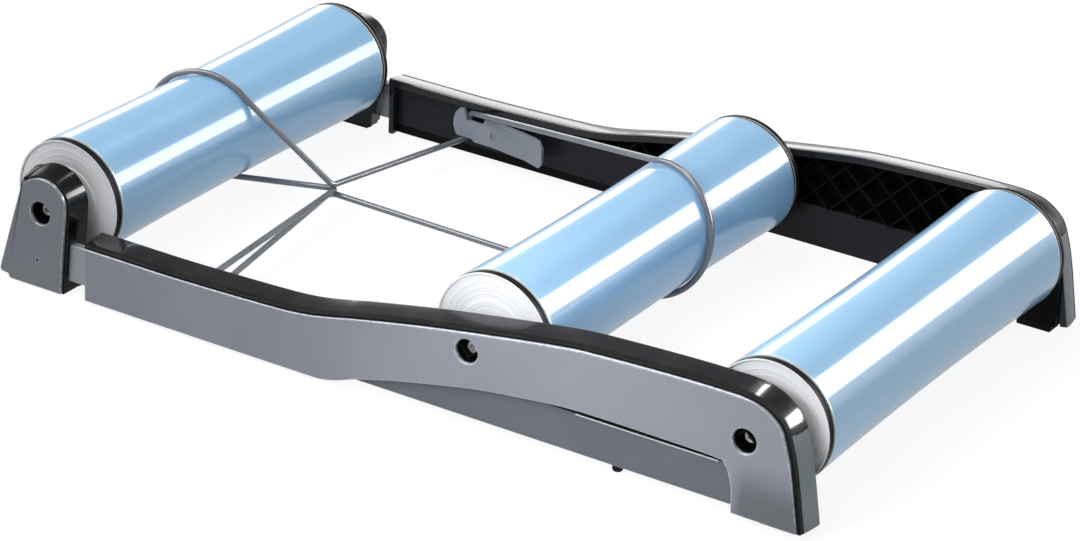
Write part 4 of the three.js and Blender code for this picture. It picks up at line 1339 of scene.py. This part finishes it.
@dataclass
class SideRail(SidePart):
    """One side rail: shell, cover, beam, collar, belt clip and rubber feet."""

    skirt_clearance: float = 3.5
    crown_height: float = 109.9
    cover_thickness: float = 3.0
    cover_rounding: float = 1.2
    wing_rounding: float = 0.9
    wing_start: float = -20.0
    wing_run: float = 120.0
    wing_low: float = 60.0
    foot_rounding: float = 1.2
    foot_reach: float = 12.0
    foot_heights: Point2 = (8.0, 50.0)
    hole_rounding: float = 1.5
    boss_radius: float = 13.5
    boss_depth: float = 24.9
    boss_cut_depth: float = 8.0
    boss_cut_margin: float = 0.02
    rib_pitch: float = 30.0
    rib_wall: float = 1.6
    rib_depth: float = 16.0
    rib_front: float = -44.0
    rib_rise: float = 3.4
    rib_reach: int = 240
    shortest_rib: int = 8
    beam_top: float = 49.8
    beam_bottom: float = 11.3
    beam_back: float = 17.4
    slot_low: float = 47.7
    web_front: float = 3.3
    web_back: float = 5.1
    end_wall: float = 5.0
    end_wall_web: float = 5.0
    end_wall_inner: float = 17.7
    end_wall_back: float = 25.7
    foot_share: float = 0.9
    wing_share: float = 0.905
    skirt_share: float = 0.355
    foot_inset: float = 3.0
    foot_length: float = 52.0
    foot_back: float = 30.0
    foot_low: float = 7.0
    crown_steps: int = 330
    lower_steps: int = 120
    crease_height: float = 88.5
    crease_width: float = 1.6
    end_reach: float = 30.0
    rim_depth: float = 5.4
    bead_shares: Point2 = (0.705, 0.893)
    bead_depths: Point2 = (4.6, 5.6)
    bead_height: float = 1.2
    crown: list[Point2] = field(init=False)
    lower: list[Point2] = field(init=False)

    def __post_init__(self) -> None:
        """Works out the rail's outlines."""
        length = PLAN.rail_rear - PLAN.rail_front
        height = self.crown_height - self.skirt_clearance
        crown, lower = (
            from_shares(shares, PLAN.rail_front, self.skirt_clearance, length, height)
            for shares in (RAIL_CROWN_SHARES, RAIL_LOWER_SHARES)
        )
        self.crown = catmull(crown, self.crown_steps)
        self.lower = [lower[0], *catmull(lower[1:-1], self.lower_steps), lower[-1]]

    def build(self) -> None:
        """Makes every piece of the rail."""
        self._cover()
        self._crown_band()
        self._shell_wall()
        self._end_wall()
        self._wing_ribs()
        self._refine(FRAME_BODY, (
            ("rail_beam", "beam_extrusion", 0.9, "beam", Finishes.BEAM),
            ("slide_collar", "sliding_collar", 0.5, "clip", Finishes.COLLAR),
            ("belt_clip", "belt_hook", 0.8, "clip", Finishes.CLIP),
            ("rear_pad", "rear_rubber_pad", 1.0, "rubber", Finishes.RUBBER),
        ))
        self._beam_lip()
        self._middle_foot()
        node = self.side.named("clip_screw")
        screw = CLIP_SCREW.in_place_of(node, self.side.named("clip_socket_screw"), head_inside=True)
        hand_over(screw, FRAME_BODY, "bolt_steel", Finishes.CLIP_PLAIN, node)

    def _cover(self) -> None:
        """The grey outer cover with its two bolt holes."""
        outline = [*self.crown, *self.lower]
        rounding = [self._rounding(x, z) for x, z in outline]
        plate = edge_rounded_plate(outline, self.cover_thickness, rounding)
        holes = [
            hole_cutter(x, PLAN.axle_height, PLAN.pocket_radius, self.hole_rounding)
            for x in (PLAN.middle_axle, PLAN.rear_axle)
        ]
        piece = smooth(sided(carved(plate, *holes), self.side, "outer_cover"))
        hand_over(piece, FRAME_BODY, "cover", Finishes.COVER, self.side.named("rail_cover"))

    def _rounding(self, x: float, z: float) -> float:
        """The cover edge's rounding: wider along the wing's top and the rear foot's front edge."""
        from_foot = (x - PLAN.along_rail(self.foot_share)) / self.foot_reach
        low, high = self.foot_heights
        on_foot = math.exp(-(from_foot**2)) * (1.0 if low < z < high else 0.0)
        along_wing = min(1.0, max(0.0, (x - self.wing_start) / self.wing_run))
        on_wing = along_wing * (1.0 if z > self.wing_low else 0.0)
        return self.cover_rounding + self.wing_rounding * on_wing + self.foot_rounding * on_foot

    def _crown_band(self) -> None:
        """The sloping black band round the crown and the rear end, with its rolled inner lip."""
        section = filleted(BAND_SECTION, 0.7, 3)
        rings = [
            [Vector((x + dx * rise, PLAN.near(depth), z + dz * rise)) for depth, rise in section]
            for (x, z), (dx, dz) in zip(self.crown, outward(self.crown, False))
        ]
        piece = MeshWork().skin(rings).done("band")
        crease_top, crease_low = self.crease_height * MM, (self.crease_height - self.crease_width) * MM
        rear = (PLAN.rail_rear - self.end_reach) * MM
        rim = (PLAN.half_width - self.rim_depth) * MM

        def on_rim(face: bpy.types.MeshPolygon) -> bool:
            """Whether a face lies on the rim groove beside the cover, or on the crease line above the end
            face; both are painted darker as shade.
            """
            if abs(face.center.y) > rim:
                return True
            in_crease = crease_low < face.center.z < crease_top
            return face.center.x > rear and in_crease and face.normal.x > 0.5

        def on_end(face: bpy.types.MeshPolygon) -> bool:
            """Whether a face lies on the rear end face, which is painted lighter as light on the black
            shell.
            """
            low = abs(face.center.y) < rim and face.center.z <= crease_low
            return low and face.center.x > rear and face.normal.x > 0.5

        # The rim groove and the crease line get painted shade, and the rear end face gets painted light.
        repaint(piece, Finishes.SHELL_RIM_SHADE, on_rim)
        repaint(piece, Finishes.END_FACE, on_end)
        piece = smooth(sided(piece, self.side, "crown_band"))
        hand_over(piece, FRAME_BODY, "shell", Finishes.SHELL, self.side.named("rail_shell"))

    def _shell_wall(self) -> None:
        """The shell's wall behind the cover, with its skirt, foot block and axle bosses."""
        near = PLAN.near
        front_y, front_x, skirt = near(self.web_front), PLAN.rail_front, self.skirt_clearance
        top = shifted(self.crown, 1.0, False)
        wing_rear = PLAN.along_rail(self.wing_share)
        bottom = [
            (x, min(z, self.slot_low) if x < wing_rear else z) for x, z in shifted(self.lower, -1.0, False)
        ]
        front = [(front_x, bottom[-1][1]), (front_x, top[0][1])]
        work = MeshWork().plate([*top, *bottom[:-1], *front], front_y, near(self.web_back))
        skirt_top = self.beam_bottom - PLAN.fit_gap
        skirt_corner = (PLAN.along_rail(self.skirt_share), near(self.beam_back), skirt_top)
        work.box((front_x, front_y, skirt), skirt_corner)
        foot_rear = PLAN.rail_rear - self.foot_inset
        foot_corner = (foot_rear, near(self.foot_back), self.beam_top)
        work.box((foot_rear - self.foot_length, front_y, self.foot_low), foot_corner)
        piece = smooth(bevelled(work.done("wall"), 0.5, 2))
        cutters = []
        bosses = MeshWork()
        back_y, seat_y, floor_y = near(self.boss_depth), near(PLAN.axle_seat), near(PLAN.pocket_floor)
        for x in (PLAN.middle_axle, PLAN.rear_axle):
            bosses.lathe(filleted([
                (PLAN.pocket_radius, front_y), (self.boss_radius, front_y), (self.boss_radius, back_y),
                (PLAN.axle_hole, back_y), (PLAN.axle_hole, seat_y), (PLAN.bolt_hole, seat_y),
                (PLAN.bolt_hole, floor_y), (PLAN.pocket_radius, floor_y),
            ], 0.5, 3), HOLE_SIDES, x)
            cut = PLAN.pocket_radius + self.boss_cut_margin
            cutters.append(round_cutter(cut, self.boss_cut_depth, HOLE_SIDES, x))
        piece = sided(carved(piece, *cutters), self.side, "shell_wall")
        hand_over(smooth(piece), FRAME_BODY, "shell", Finishes.SHELL_INSIDE)
        piece = smooth(bosses.done(self.side.named("axle_bosses"), self.side))
        hand_over(piece, FRAME_BODY, "shell", Finishes.SHELL_INSIDE)

    def _end_wall(self) -> None:
        """The wall that closes the shell's front end around the beam."""
        near, start = PLAN.near, PLAN.rail_front
        end, top = start + self.end_wall, self.crown[0][1] + 0.5
        cover_back, web, back = near(self.web_front), near(self.end_wall_web), near(self.end_wall_back)
        beam_ceiling = self.beam_top + PLAN.fit_gap
        work = MeshWork()
        work.box((start, cover_back, self.skirt_clearance), (end, web, top))
        work.box((start, web, beam_ceiling), (end, back, top))
        work.box((start, near(self.end_wall_inner), self.skirt_clearance), (end, back, beam_ceiling))
        piece = smooth(bevelled(work.done(self.side.named("shell_end_wall"), self.side), 0.5, 2))
        hand_over(piece, FRAME_BODY, "shell", Finishes.SHELL)

    def _wing_ribs(self) -> None:
        """The crossed ribs behind the wing, set on points by geometry nodes."""
        floor = self.beam_top + PLAN.fit_gap
        ceiling = shifted(self.crown, self.rib_rise, False)

        def inside(x: float, z: float) -> bool:
            """Whether a point lies in the wing's hollow."""
            if z < floor or x > PLAN.rail_rear - 1 or x < self.rib_front:
                return False
            return z < min(ceiling, key=lambda place: abs(place[0] - x))[1]

        starts, lengths, leans = [], [], []
        count = round((PLAN.rail_rear - self.rib_pitch - self.rib_front) / self.rib_pitch)
        steps = [0.5 * k for k in range(-self.rib_reach, self.rib_reach + 1)]
        for i in range(count + 1):
            base = self.rib_front + i * self.rib_pitch
            for lean in (-1, 1):
                kept = [(base + lean * s, floor + s) for s in steps if inside(base + lean * s, floor + s)]
                if len(kept) < self.shortest_rib:
                    continue
                (x0, z0), (x1, z1) = kept[0], kept[-1]
                starts.append(((x0 + x1) / 2, (z0 + z1) / 2))
                lengths.append(math.hypot(x1 - x0, z1 - z0) * MM)
                leans.append(math.atan2(x1 - x0, z1 - z0))
        name = self.side.named("wing_ribs")
        mesh = bpy.data.meshes.new(name)
        y = -self.side.value * PLAN.near(self.web_back - 0.5 + self.rib_depth / 2) * MM
        mesh.from_pydata([(x * MM, y, z * MM) for x, z in starts], [], [])
        for key, values in (("rib_length", lengths), ("rib_lean", leans)):
            mesh.attributes.new(key, "FLOAT", "POINT").data.foreach_set("value", values)
        piece = linked(name, mesh)
        ribs = piece.modifiers.new("ribs", "NODES")
        ribs.node_group = rib_tree()
        given = {
            "Wall": self.rib_wall * MM, "Depth": self.rib_depth * MM,
            "Finish": Finishes.SHELL_INSIDE.material(),
        }
        for socket in ribs.node_group.interface.items_tree:
            if socket.item_type == "SOCKET" and socket.in_out == "INPUT" and socket.name in given:
                ribs[socket.identifier] = given[socket.name]
        piece = smooth(bevelled(settle(piece), 0.25, 2))
        hand_over(piece, FRAME_BODY, "shell", Finishes.SHELL_INSIDE)

    def _beam_lip(self) -> None:
        """A bead on the beam's face under the dark slot, coloured light as a painted highlight of the
        beam's top edge.
        """
        start, end = (PLAN.along_rail(share) for share in self.bead_shares)
        front, back = (PLAN.near(depth) for depth in self.bead_depths)
        top = self.slot_low - self.bead_height
        work = MeshWork().box((start, front, top - self.bead_height), (end, back, top))
        piece = smooth(bevelled(work.done(self.side.named("beam_highlight_bead"), self.side), 0.35, 3))
        hand_over(piece, FRAME_BODY, "beam", Finishes.BEAM_LIP)

    def _middle_foot(self) -> None:
        """The round rubber foot under the beam."""
        node = self.side.named("middle_foot")
        low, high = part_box(node)
        x, y = (low.x + high.x) / 2 / MM, (low.y + high.y) / 2 / MM
        radius, top, base = (high.x - low.x) / 2 / MM, high.z / MM, low.z / MM
        chamfer, rise, sides = 0.8, 1.2, 48
        profile = filleted([
            (0.0, base), (radius - chamfer, base), (radius, base + rise), (radius, top), (0.0, top),
        ], 0.6, 3)
        rings = [
            [Vector((x + r * math.cos(a), y + r * math.sin(a), z)) for r, z in profile]
            for a in round_angles(sides)
        ]
        piece = smooth(MeshWork().skin(rings, loop=True).done(self.side.named("round_rubber_foot")))
        hand_over(piece, FRAME_BODY, "rubber", Finishes.RUBBER, node)


def rib_tree() -> bpy.types.NodeTree:
    """The geometry-nodes tree that sets one rib on each point, made on first use."""
    name = "rib_on_point"
    found = bpy.data.node_groups.get(name)
    if found:
        return found
    tree = bpy.data.node_groups.new(name, "GeometryNodeTree")
    for socket, kind, way in (
        ("Geometry", "Geometry", "INPUT"), ("Wall", "Float", "INPUT"), ("Depth", "Float", "INPUT"),
        ("Finish", "Material", "INPUT"), ("Geometry", "Geometry", "OUTPUT"),
    ):
        tree.interface.new_socket(socket, in_out=way, socket_type=f"NodeSocket{kind}")
    maker = NodeMaker(tree)
    given = maker.node("NodeGroupInput").outputs
    size = maker.node("ShaderNodeCombineXYZ", {"X": given["Wall"], "Y": given["Depth"], "Z": 1.0})
    rib = maker.node("GeometryNodeMeshCube", {"Size": size.outputs[0]})
    lean, length = (
        maker.node("GeometryNodeInputNamedAttribute", {"Name": key}, data_type="FLOAT").outputs["Attribute"]
        for key in ("rib_lean", "rib_length")
    )
    turn = maker.node("ShaderNodeCombineXYZ", {"Y": lean})
    stretch = maker.node("ShaderNodeCombineXYZ", {"X": 1.0, "Y": 1.0, "Z": length})
    place = maker.node("GeometryNodeInstanceOnPoints", {
        "Points": given["Geometry"], "Instance": rib.outputs["Mesh"], "Rotation": turn.outputs[0],
        "Scale": stretch.outputs[0],
    })
    real = maker.node("GeometryNodeRealizeInstances", {0: place.outputs["Instances"]})
    paint = maker.node("GeometryNodeSetMaterial", {
        "Geometry": real.outputs[0], "Material": given["Finish"],
    })
    maker.node("NodeGroupOutput", {0: paint.outputs[0]})
    return tree


# Front ends


@dataclass
class FrontEnd(SidePart):
    """One sliding front end: cap body, cap plate, screw, foot, bar and plug."""

    front_reach: float = 46.0
    rear_reach: float = 27.4
    top: float = 105.1
    bottom: float = 1.5
    plate_thickness: float = 3.0
    body_bottom: float = 3.6
    axle_hole_end: float = 28.0
    edge_rounding: float = 1.2
    hole_rounding: float = 1.3
    screw_seat: Point2 = (4.6, 0.3)
    screw_hole: Point2 = (2.7, 8.0)
    bar_pocket_x: Point2 = (-22.3, 36.0)
    bar_pocket_depths: Point2 = (7.4, 15.4)
    bar_pocket_heights: Point2 = (12.9, 48.2)
    arch_steps: int = 96

    def outline(self) -> list[Point2]:
        """The cap plate's outline, in the same sense as the rail's."""
        corners = from_shares(
            CAP_SHARES, PLAN.front_axle - self.front_reach, self.bottom,
            self.front_reach + self.rear_reach, self.top - self.bottom,
        )
        arch = catmull([*corners[4:], corners[0]], self.arch_steps)[1:-1]
        return list(reversed([*corners[:5], *arch]))

    def build(self) -> None:
        """Makes every piece of the front end."""
        self._plate()
        self._body()
        self._refine(CARRIAGE_BODY, (
            ("slide_bar", "sliding_bar", 0.6, "bar", Finishes.BAR),
            ("slide_bar_plug", "bar_end_plug", 0.6, "clip", Finishes.COLLAR),
            ("front_cap_foot", "front_rubber_foot", 0.6, "rubber", Finishes.RUBBER),
        ))
        node = self.side.named("front_cap_screw")
        screw = CAP_SCREW.in_place_of(node, self.side.named("cap_socket_screw"), head_inside=False)
        hand_over(screw, CARRIAGE_BODY, "bolt_steel", Finishes.COVER_PLAIN, node)

    def _plate(self) -> None:
        """The grey plate with its bolt hole and screw seat."""
        outline = filleted(self.outline(), 2.0, 4)
        plate = edge_rounded_plate(outline, self.plate_thickness, [self.edge_rounding] * len(outline))
        piece = sided(carved(
            plate,
            hole_cutter(PLAN.front_axle, PLAN.axle_height, PLAN.pocket_radius, self.hole_rounding),
            hole_cutter(PLAN.cap_screw_x, PLAN.cap_screw_z, *self.screw_seat),
        ), self.side, "cap_face")
        node = self.side.named("front_cap_plate")
        hand_over(smooth(piece), CARRIAGE_BODY, "cover", Finishes.CAP_PLATE, node)

    def _body(self) -> None:
        """The black body behind the plate, with pockets for the bolt and the bar."""
        base, near = self.outline(), PLAN.near
        body = MeshWork().skin([
            [Vector((x, near(depth), max(z, self.body_bottom))) for x, z in shifted(base, rise)]
            for rise, depth in CAP_BODY_SECTION
        ]).done("cap_body")
        outside, floor_y, seat_y = near(0.0), near(PLAN.pocket_floor), near(PLAN.axle_seat)
        end_y = near(self.axle_hole_end)
        pocket = MeshWork().lathe([
            (0.0, outside), (PLAN.pocket_radius, outside), (PLAN.pocket_radius, floor_y),
            (PLAN.bolt_hole, floor_y), (PLAN.bolt_hole, seat_y), (PLAN.axle_hole, seat_y),
            (PLAN.axle_hole, end_y), (0.0, end_y),
        ], HOLE_SIDES, PLAN.front_axle).done("pocket_cutter")
        low, high = (
            (PLAN.front_axle + reach, near(depth), height)
            for reach, depth, height in zip(
                self.bar_pocket_x, self.bar_pocket_depths, self.bar_pocket_heights
            )
        )
        bar_pocket = MeshWork().box(low, high).done("bar_cutter")
        screw_hole = round_cutter(*self.screw_hole, 24, PLAN.cap_screw_x, PLAN.cap_screw_z)
        piece = sided(carved(body, pocket, bar_pocket, screw_hole), self.side, "cap_housing")
        node = self.side.named("front_cap_body")
        hand_over(smooth(piece), CARRIAGE_BODY, "shell", Finishes.CAP_BODY, node)


# Axles


@dataclass
class Axle:
    """A fixed axle and the two bolts that hold it."""

    name: str
    x: float
    head_depth: float = 10.0
    bolt_length: float = 20.0

    def build(self) -> None:
        """Makes the axle and its bolts."""
        body = CARRIAGE_BODY if self.name == "front" else FRAME_BODY
        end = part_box(f"{self.name}_axle")[1].y / MM
        hole, rod = end - self.bolt_length, PLAN.axle_radius
        bore = AXLE_BOLT.shank_radius + PLAN.fit_gap
        profile = filleted([
            (0.0, -hole), (bore, -hole), (bore, -end), (rod, -end), (rod, end), (bore, end),
            (bore, hole), (0.0, hole),
        ], 0.4, 3)
        piece = smooth(MeshWork().lathe(profile, 48, self.x).done(f"{self.name}_axle_rod"))
        hand_over(piece, body, "axle_steel", Finishes.AXLE, f"{self.name}_axle")
        for side in Side:
            head = PLAN.half_width - self.head_depth
            tip = head - AXLE_BOLT.head_height - self.bolt_length
            name = side.named(f"{self.name}_socket_bolt")
            bolt = AXLE_BOLT.make(name, self.x, PLAN.axle_height, side.value * head, side.value * tip)
            node = side.named(f"{self.name}_axle_bolt")
            hand_over(bolt, body, "bolt_steel", Finishes.BOLT, node)


# Drive belt


@dataclass
class DriveBelt:
    """The elastic belt: one loop round two rollers, hooked on the clips and crossed at one knot."""

    radius: float = 2.75
    gap: float = 0.5
    knot_reach: float = 112.0
    knot_offset: float = 33.0
    knot_height: float = 28.5
    knot_step: float = 5.6
    knot_hook: float = 3.22
    knot_bend: float = 6.5
    clip_bend: float = 4.5
    clip_depth: float = 22.0
    clip_length: float = 101.0
    far_clip: float = 76.0
    near_clip: float = 91.0
    far_turn_shares: Point2 = (0.139, 0.099)
    near_turn_shares: Point2 = (0.198, 0.119)
    turn_heights: Point2 = (46.3, 20.2)
    tight_offset: float = 36.0
    middle_offsets: tuple[float, ...] = (73.4, 58.0, 44.5, 36.0)
    front_offsets: tuple[float, ...] = (20.0, -17.0, -2.0)
    stretch_margins: Point2 = (62.0, 6.0)
    longest: float = 6.0
    closest: float = 1.5
    wrap_steps: int = 84
    bend_steps: int = 12
    sides: int = 20

    @property
    def stretch_zone(self) -> Point2:
        """The two X places between which the strands stretch."""
        near_front, before_knot = self.stretch_margins
        return PLAN.front_axle + near_front, PLAN.front_axle + self.knot_reach - before_knot

    def _leaving(self, axle_x: float, radius: float, x: float, z: float, side: int) -> float:
        """Direction, clockwise from straight up, in which a strand to a far point leaves a roller."""
        across, up = x - axle_x, z - PLAN.axle_height
        return math.atan2(across, up) + side * math.acos(radius / math.hypot(across, up))

    def _wrap(
        self, axle_x: float, arriving: Vector, leaving: Vector, offsets: Sequence[float]
    ) -> list[Vector]:
        """The belt's middle line round a roller.

        Args:
            axle_x: X of the roller's axis.
            arriving: the place that the belt comes from.
            leaving: the place that the belt goes to.
            offsets: Y of the line, in even steps round the roller.

        Returns:
            The line's places.
        """
        tight = PLAN.tube_radius(self.tight_offset) + self.gap + self.radius
        start = self._leaving(axle_x, tight, arriving.x, arriving.z, 1)
        end = self._leaving(axle_x, tight, leaving.x, leaving.z, -1) + FULL_TURN
        sideways = catmull([(offset, 0.0) for offset in offsets], self.wrap_steps)
        places = []
        for i, (y, _) in enumerate(sideways):
            angle = start + (end - start) * i / self.wrap_steps
            reach = PLAN.tube_radius(y) + self.gap + self.radius
            x, z = axle_x + reach * math.sin(angle), PLAN.axle_height + reach * math.cos(angle)
            places.append(Vector((x, y, z)))
        return places

    def _bend(self, before: Vector, corner: Vector, after: Vector, radius: float) -> list[Vector]:
        """A round bend in place of a corner."""
        inward, onward = (before - corner).normalized(), (after - corner).normalized()
        half = (math.pi - inward.angle(onward)) / 2
        leg = radius * math.tan(half)
        start, end = corner + inward * leg, corner + onward * leg
        centre = corner + (inward + onward).normalized() * (radius / math.cos(half))
        places = []
        for i in range(self.bend_steps + 1):
            arm = start.lerp(end, i / self.bend_steps) - centre
            places.append(centre + arm.normalized() * radius)
        return places

    def _knot(self, step: int) -> Vector:
        """One of the three crossings, one above the other, each hooked past the others."""
        along, across = {-1: (-1, 1), 0: (1, 1), 1: (1, -1)}[step]
        return Vector((
            PLAN.front_axle + self.knot_reach + along * self.knot_hook,
            self.knot_offset + across * self.knot_hook, self.knot_height + step * self.knot_step,
        ))

    def _turns(self, side: Side, reach: float, shares: Point2) -> list[Vector]:
        """The upper and lower place where the belt turns behind a clip."""
        y = side.value * (PLAN.half_width - self.clip_depth)
        return [
            Vector((PLAN.rail_front + reach + share * self.clip_length, y, height))
            for share, height in zip(shares, self.turn_heights)
        ]

    def route(self) -> list[Vector]:
        """The belt's closed middle line, in millimetres."""
        low, centre, high = (self._knot(step) for step in (-1, 0, 1))
        far_top, far_bottom = self._turns(Side.FAR, self.far_clip, self.far_turn_shares)
        near_top, near_bottom = self._turns(Side.NEAR, self.near_clip, self.near_turn_shares)
        knot_x = PLAN.front_axle + self.knot_reach
        below, level, above = (Vector((knot_x, 0.0, knot.z)) for knot in (low, centre, high))
        middle = self._wrap(PLAN.middle_axle, far_top, below, self.middle_offsets)
        front = self._wrap(PLAN.front_axle, level, above, self.front_offsets)
        return [
            *middle,
            *self._bend(middle[-1], low, near_bottom, self.knot_bend),
            *self._bend(low, near_bottom, near_top, self.clip_bend),
            *self._bend(near_bottom, near_top, centre, self.clip_bend),
            *self._bend(near_top, centre, front[0], self.knot_bend),
            *front,
            *self._bend(front[-1], high, far_bottom, self.knot_bend),
            *self._bend(high, far_bottom, far_top, self.clip_bend),
            *self._bend(far_bottom, far_top, middle[0], self.clip_bend),
        ]

    def _spaced(self, corners: list[Vector]) -> list[Vector]:
        """The same closed line in short stretches, and shorter ones where it stretches."""
        places = []
        low, high = self.stretch_zone
        for i, here in enumerate(corners):
            after = corners[(i + 1) % len(corners)]
            length = (after - here).length
            crosses = min(here.x, after.x) < high and max(here.x, after.x) > low
            finer = crosses and length > 3 * self.longest
            count = max(1, math.ceil(length / (self.closest if finer else self.longest)))
            places += [here.lerp(after, k / count) for k in range(count)]
        return places

    def _rings(self, line: list[Vector]) -> list[list[Vector]]:
        """Rings round a closed line that turn evenly, so that the last meets the first."""
        total = len(line)
        tangents = [(line[(i + 1) % total] - line[i - 1]).normalized() for i in range(total)]
        normal = Vector((0, 1, 0))
        normals = [(normal - tangents[0] * normal.dot(tangents[0])).normalized()]
        for i in range(1, total + 1):
            carry: Quaternion = tangents[i - 1].rotation_difference(tangents[i % total])
            normals.append(carry @ normals[-1])
        across = normals[0].cross(tangents[0])
        twist = math.atan2(normals[total].dot(across), normals[total].dot(normals[0]))
        rings = []
        for i, place in enumerate(line):
            turned = Quaternion(tangents[i], twist * i / total) @ normals[i]
            side = tangents[i].cross(turned)
            rings.append([
                place + (turned * math.cos(a) + side * math.sin(a)) * self.radius
                for a in round_angles(self.sides)
            ])
        return rings

    def build(self) -> None:
        """Makes the belt's tube in place of the CAD belt, with finer rings where its strands stretch."""
        line = self._spaced(self.route())
        piece = MeshWork().skin(self._rings(line), loop=True).done("elastic_belt")
        mesh = piece.data
        mesh.polygons.foreach_set("use_smooth", [True] * len(mesh.polygons))
        mesh.materials.append(Finishes.BELT.material())
        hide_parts("drive_belt")
        end, start = self.stretch_zone
        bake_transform(piece)
        length = sum((line[i] - line[i - 1]).length for i in range(len(line))) * MM
        LOG.info("elastic_belt: %.3f m long, %d faces", length, len(mesh.polygons))


def main() -> None:
    """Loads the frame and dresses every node."""
    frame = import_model()
    nodes: dict[str, Piece] = frame["nodes"]
    StudioCamera().make()
    DriveBelt().build()
    for name, x in PLAN.axles.items():
        Roller(name, x).build()
    for name, x in PLAN.axles.items():
        Axle(name, x).build()
    for side in Side:
        SideRail(side, nodes).build()
        FrontEnd(side, nodes).build()
    Studio().make()


if __name__ == "__main__":
    logging.basicConfig(level=logging.INFO)
    main()
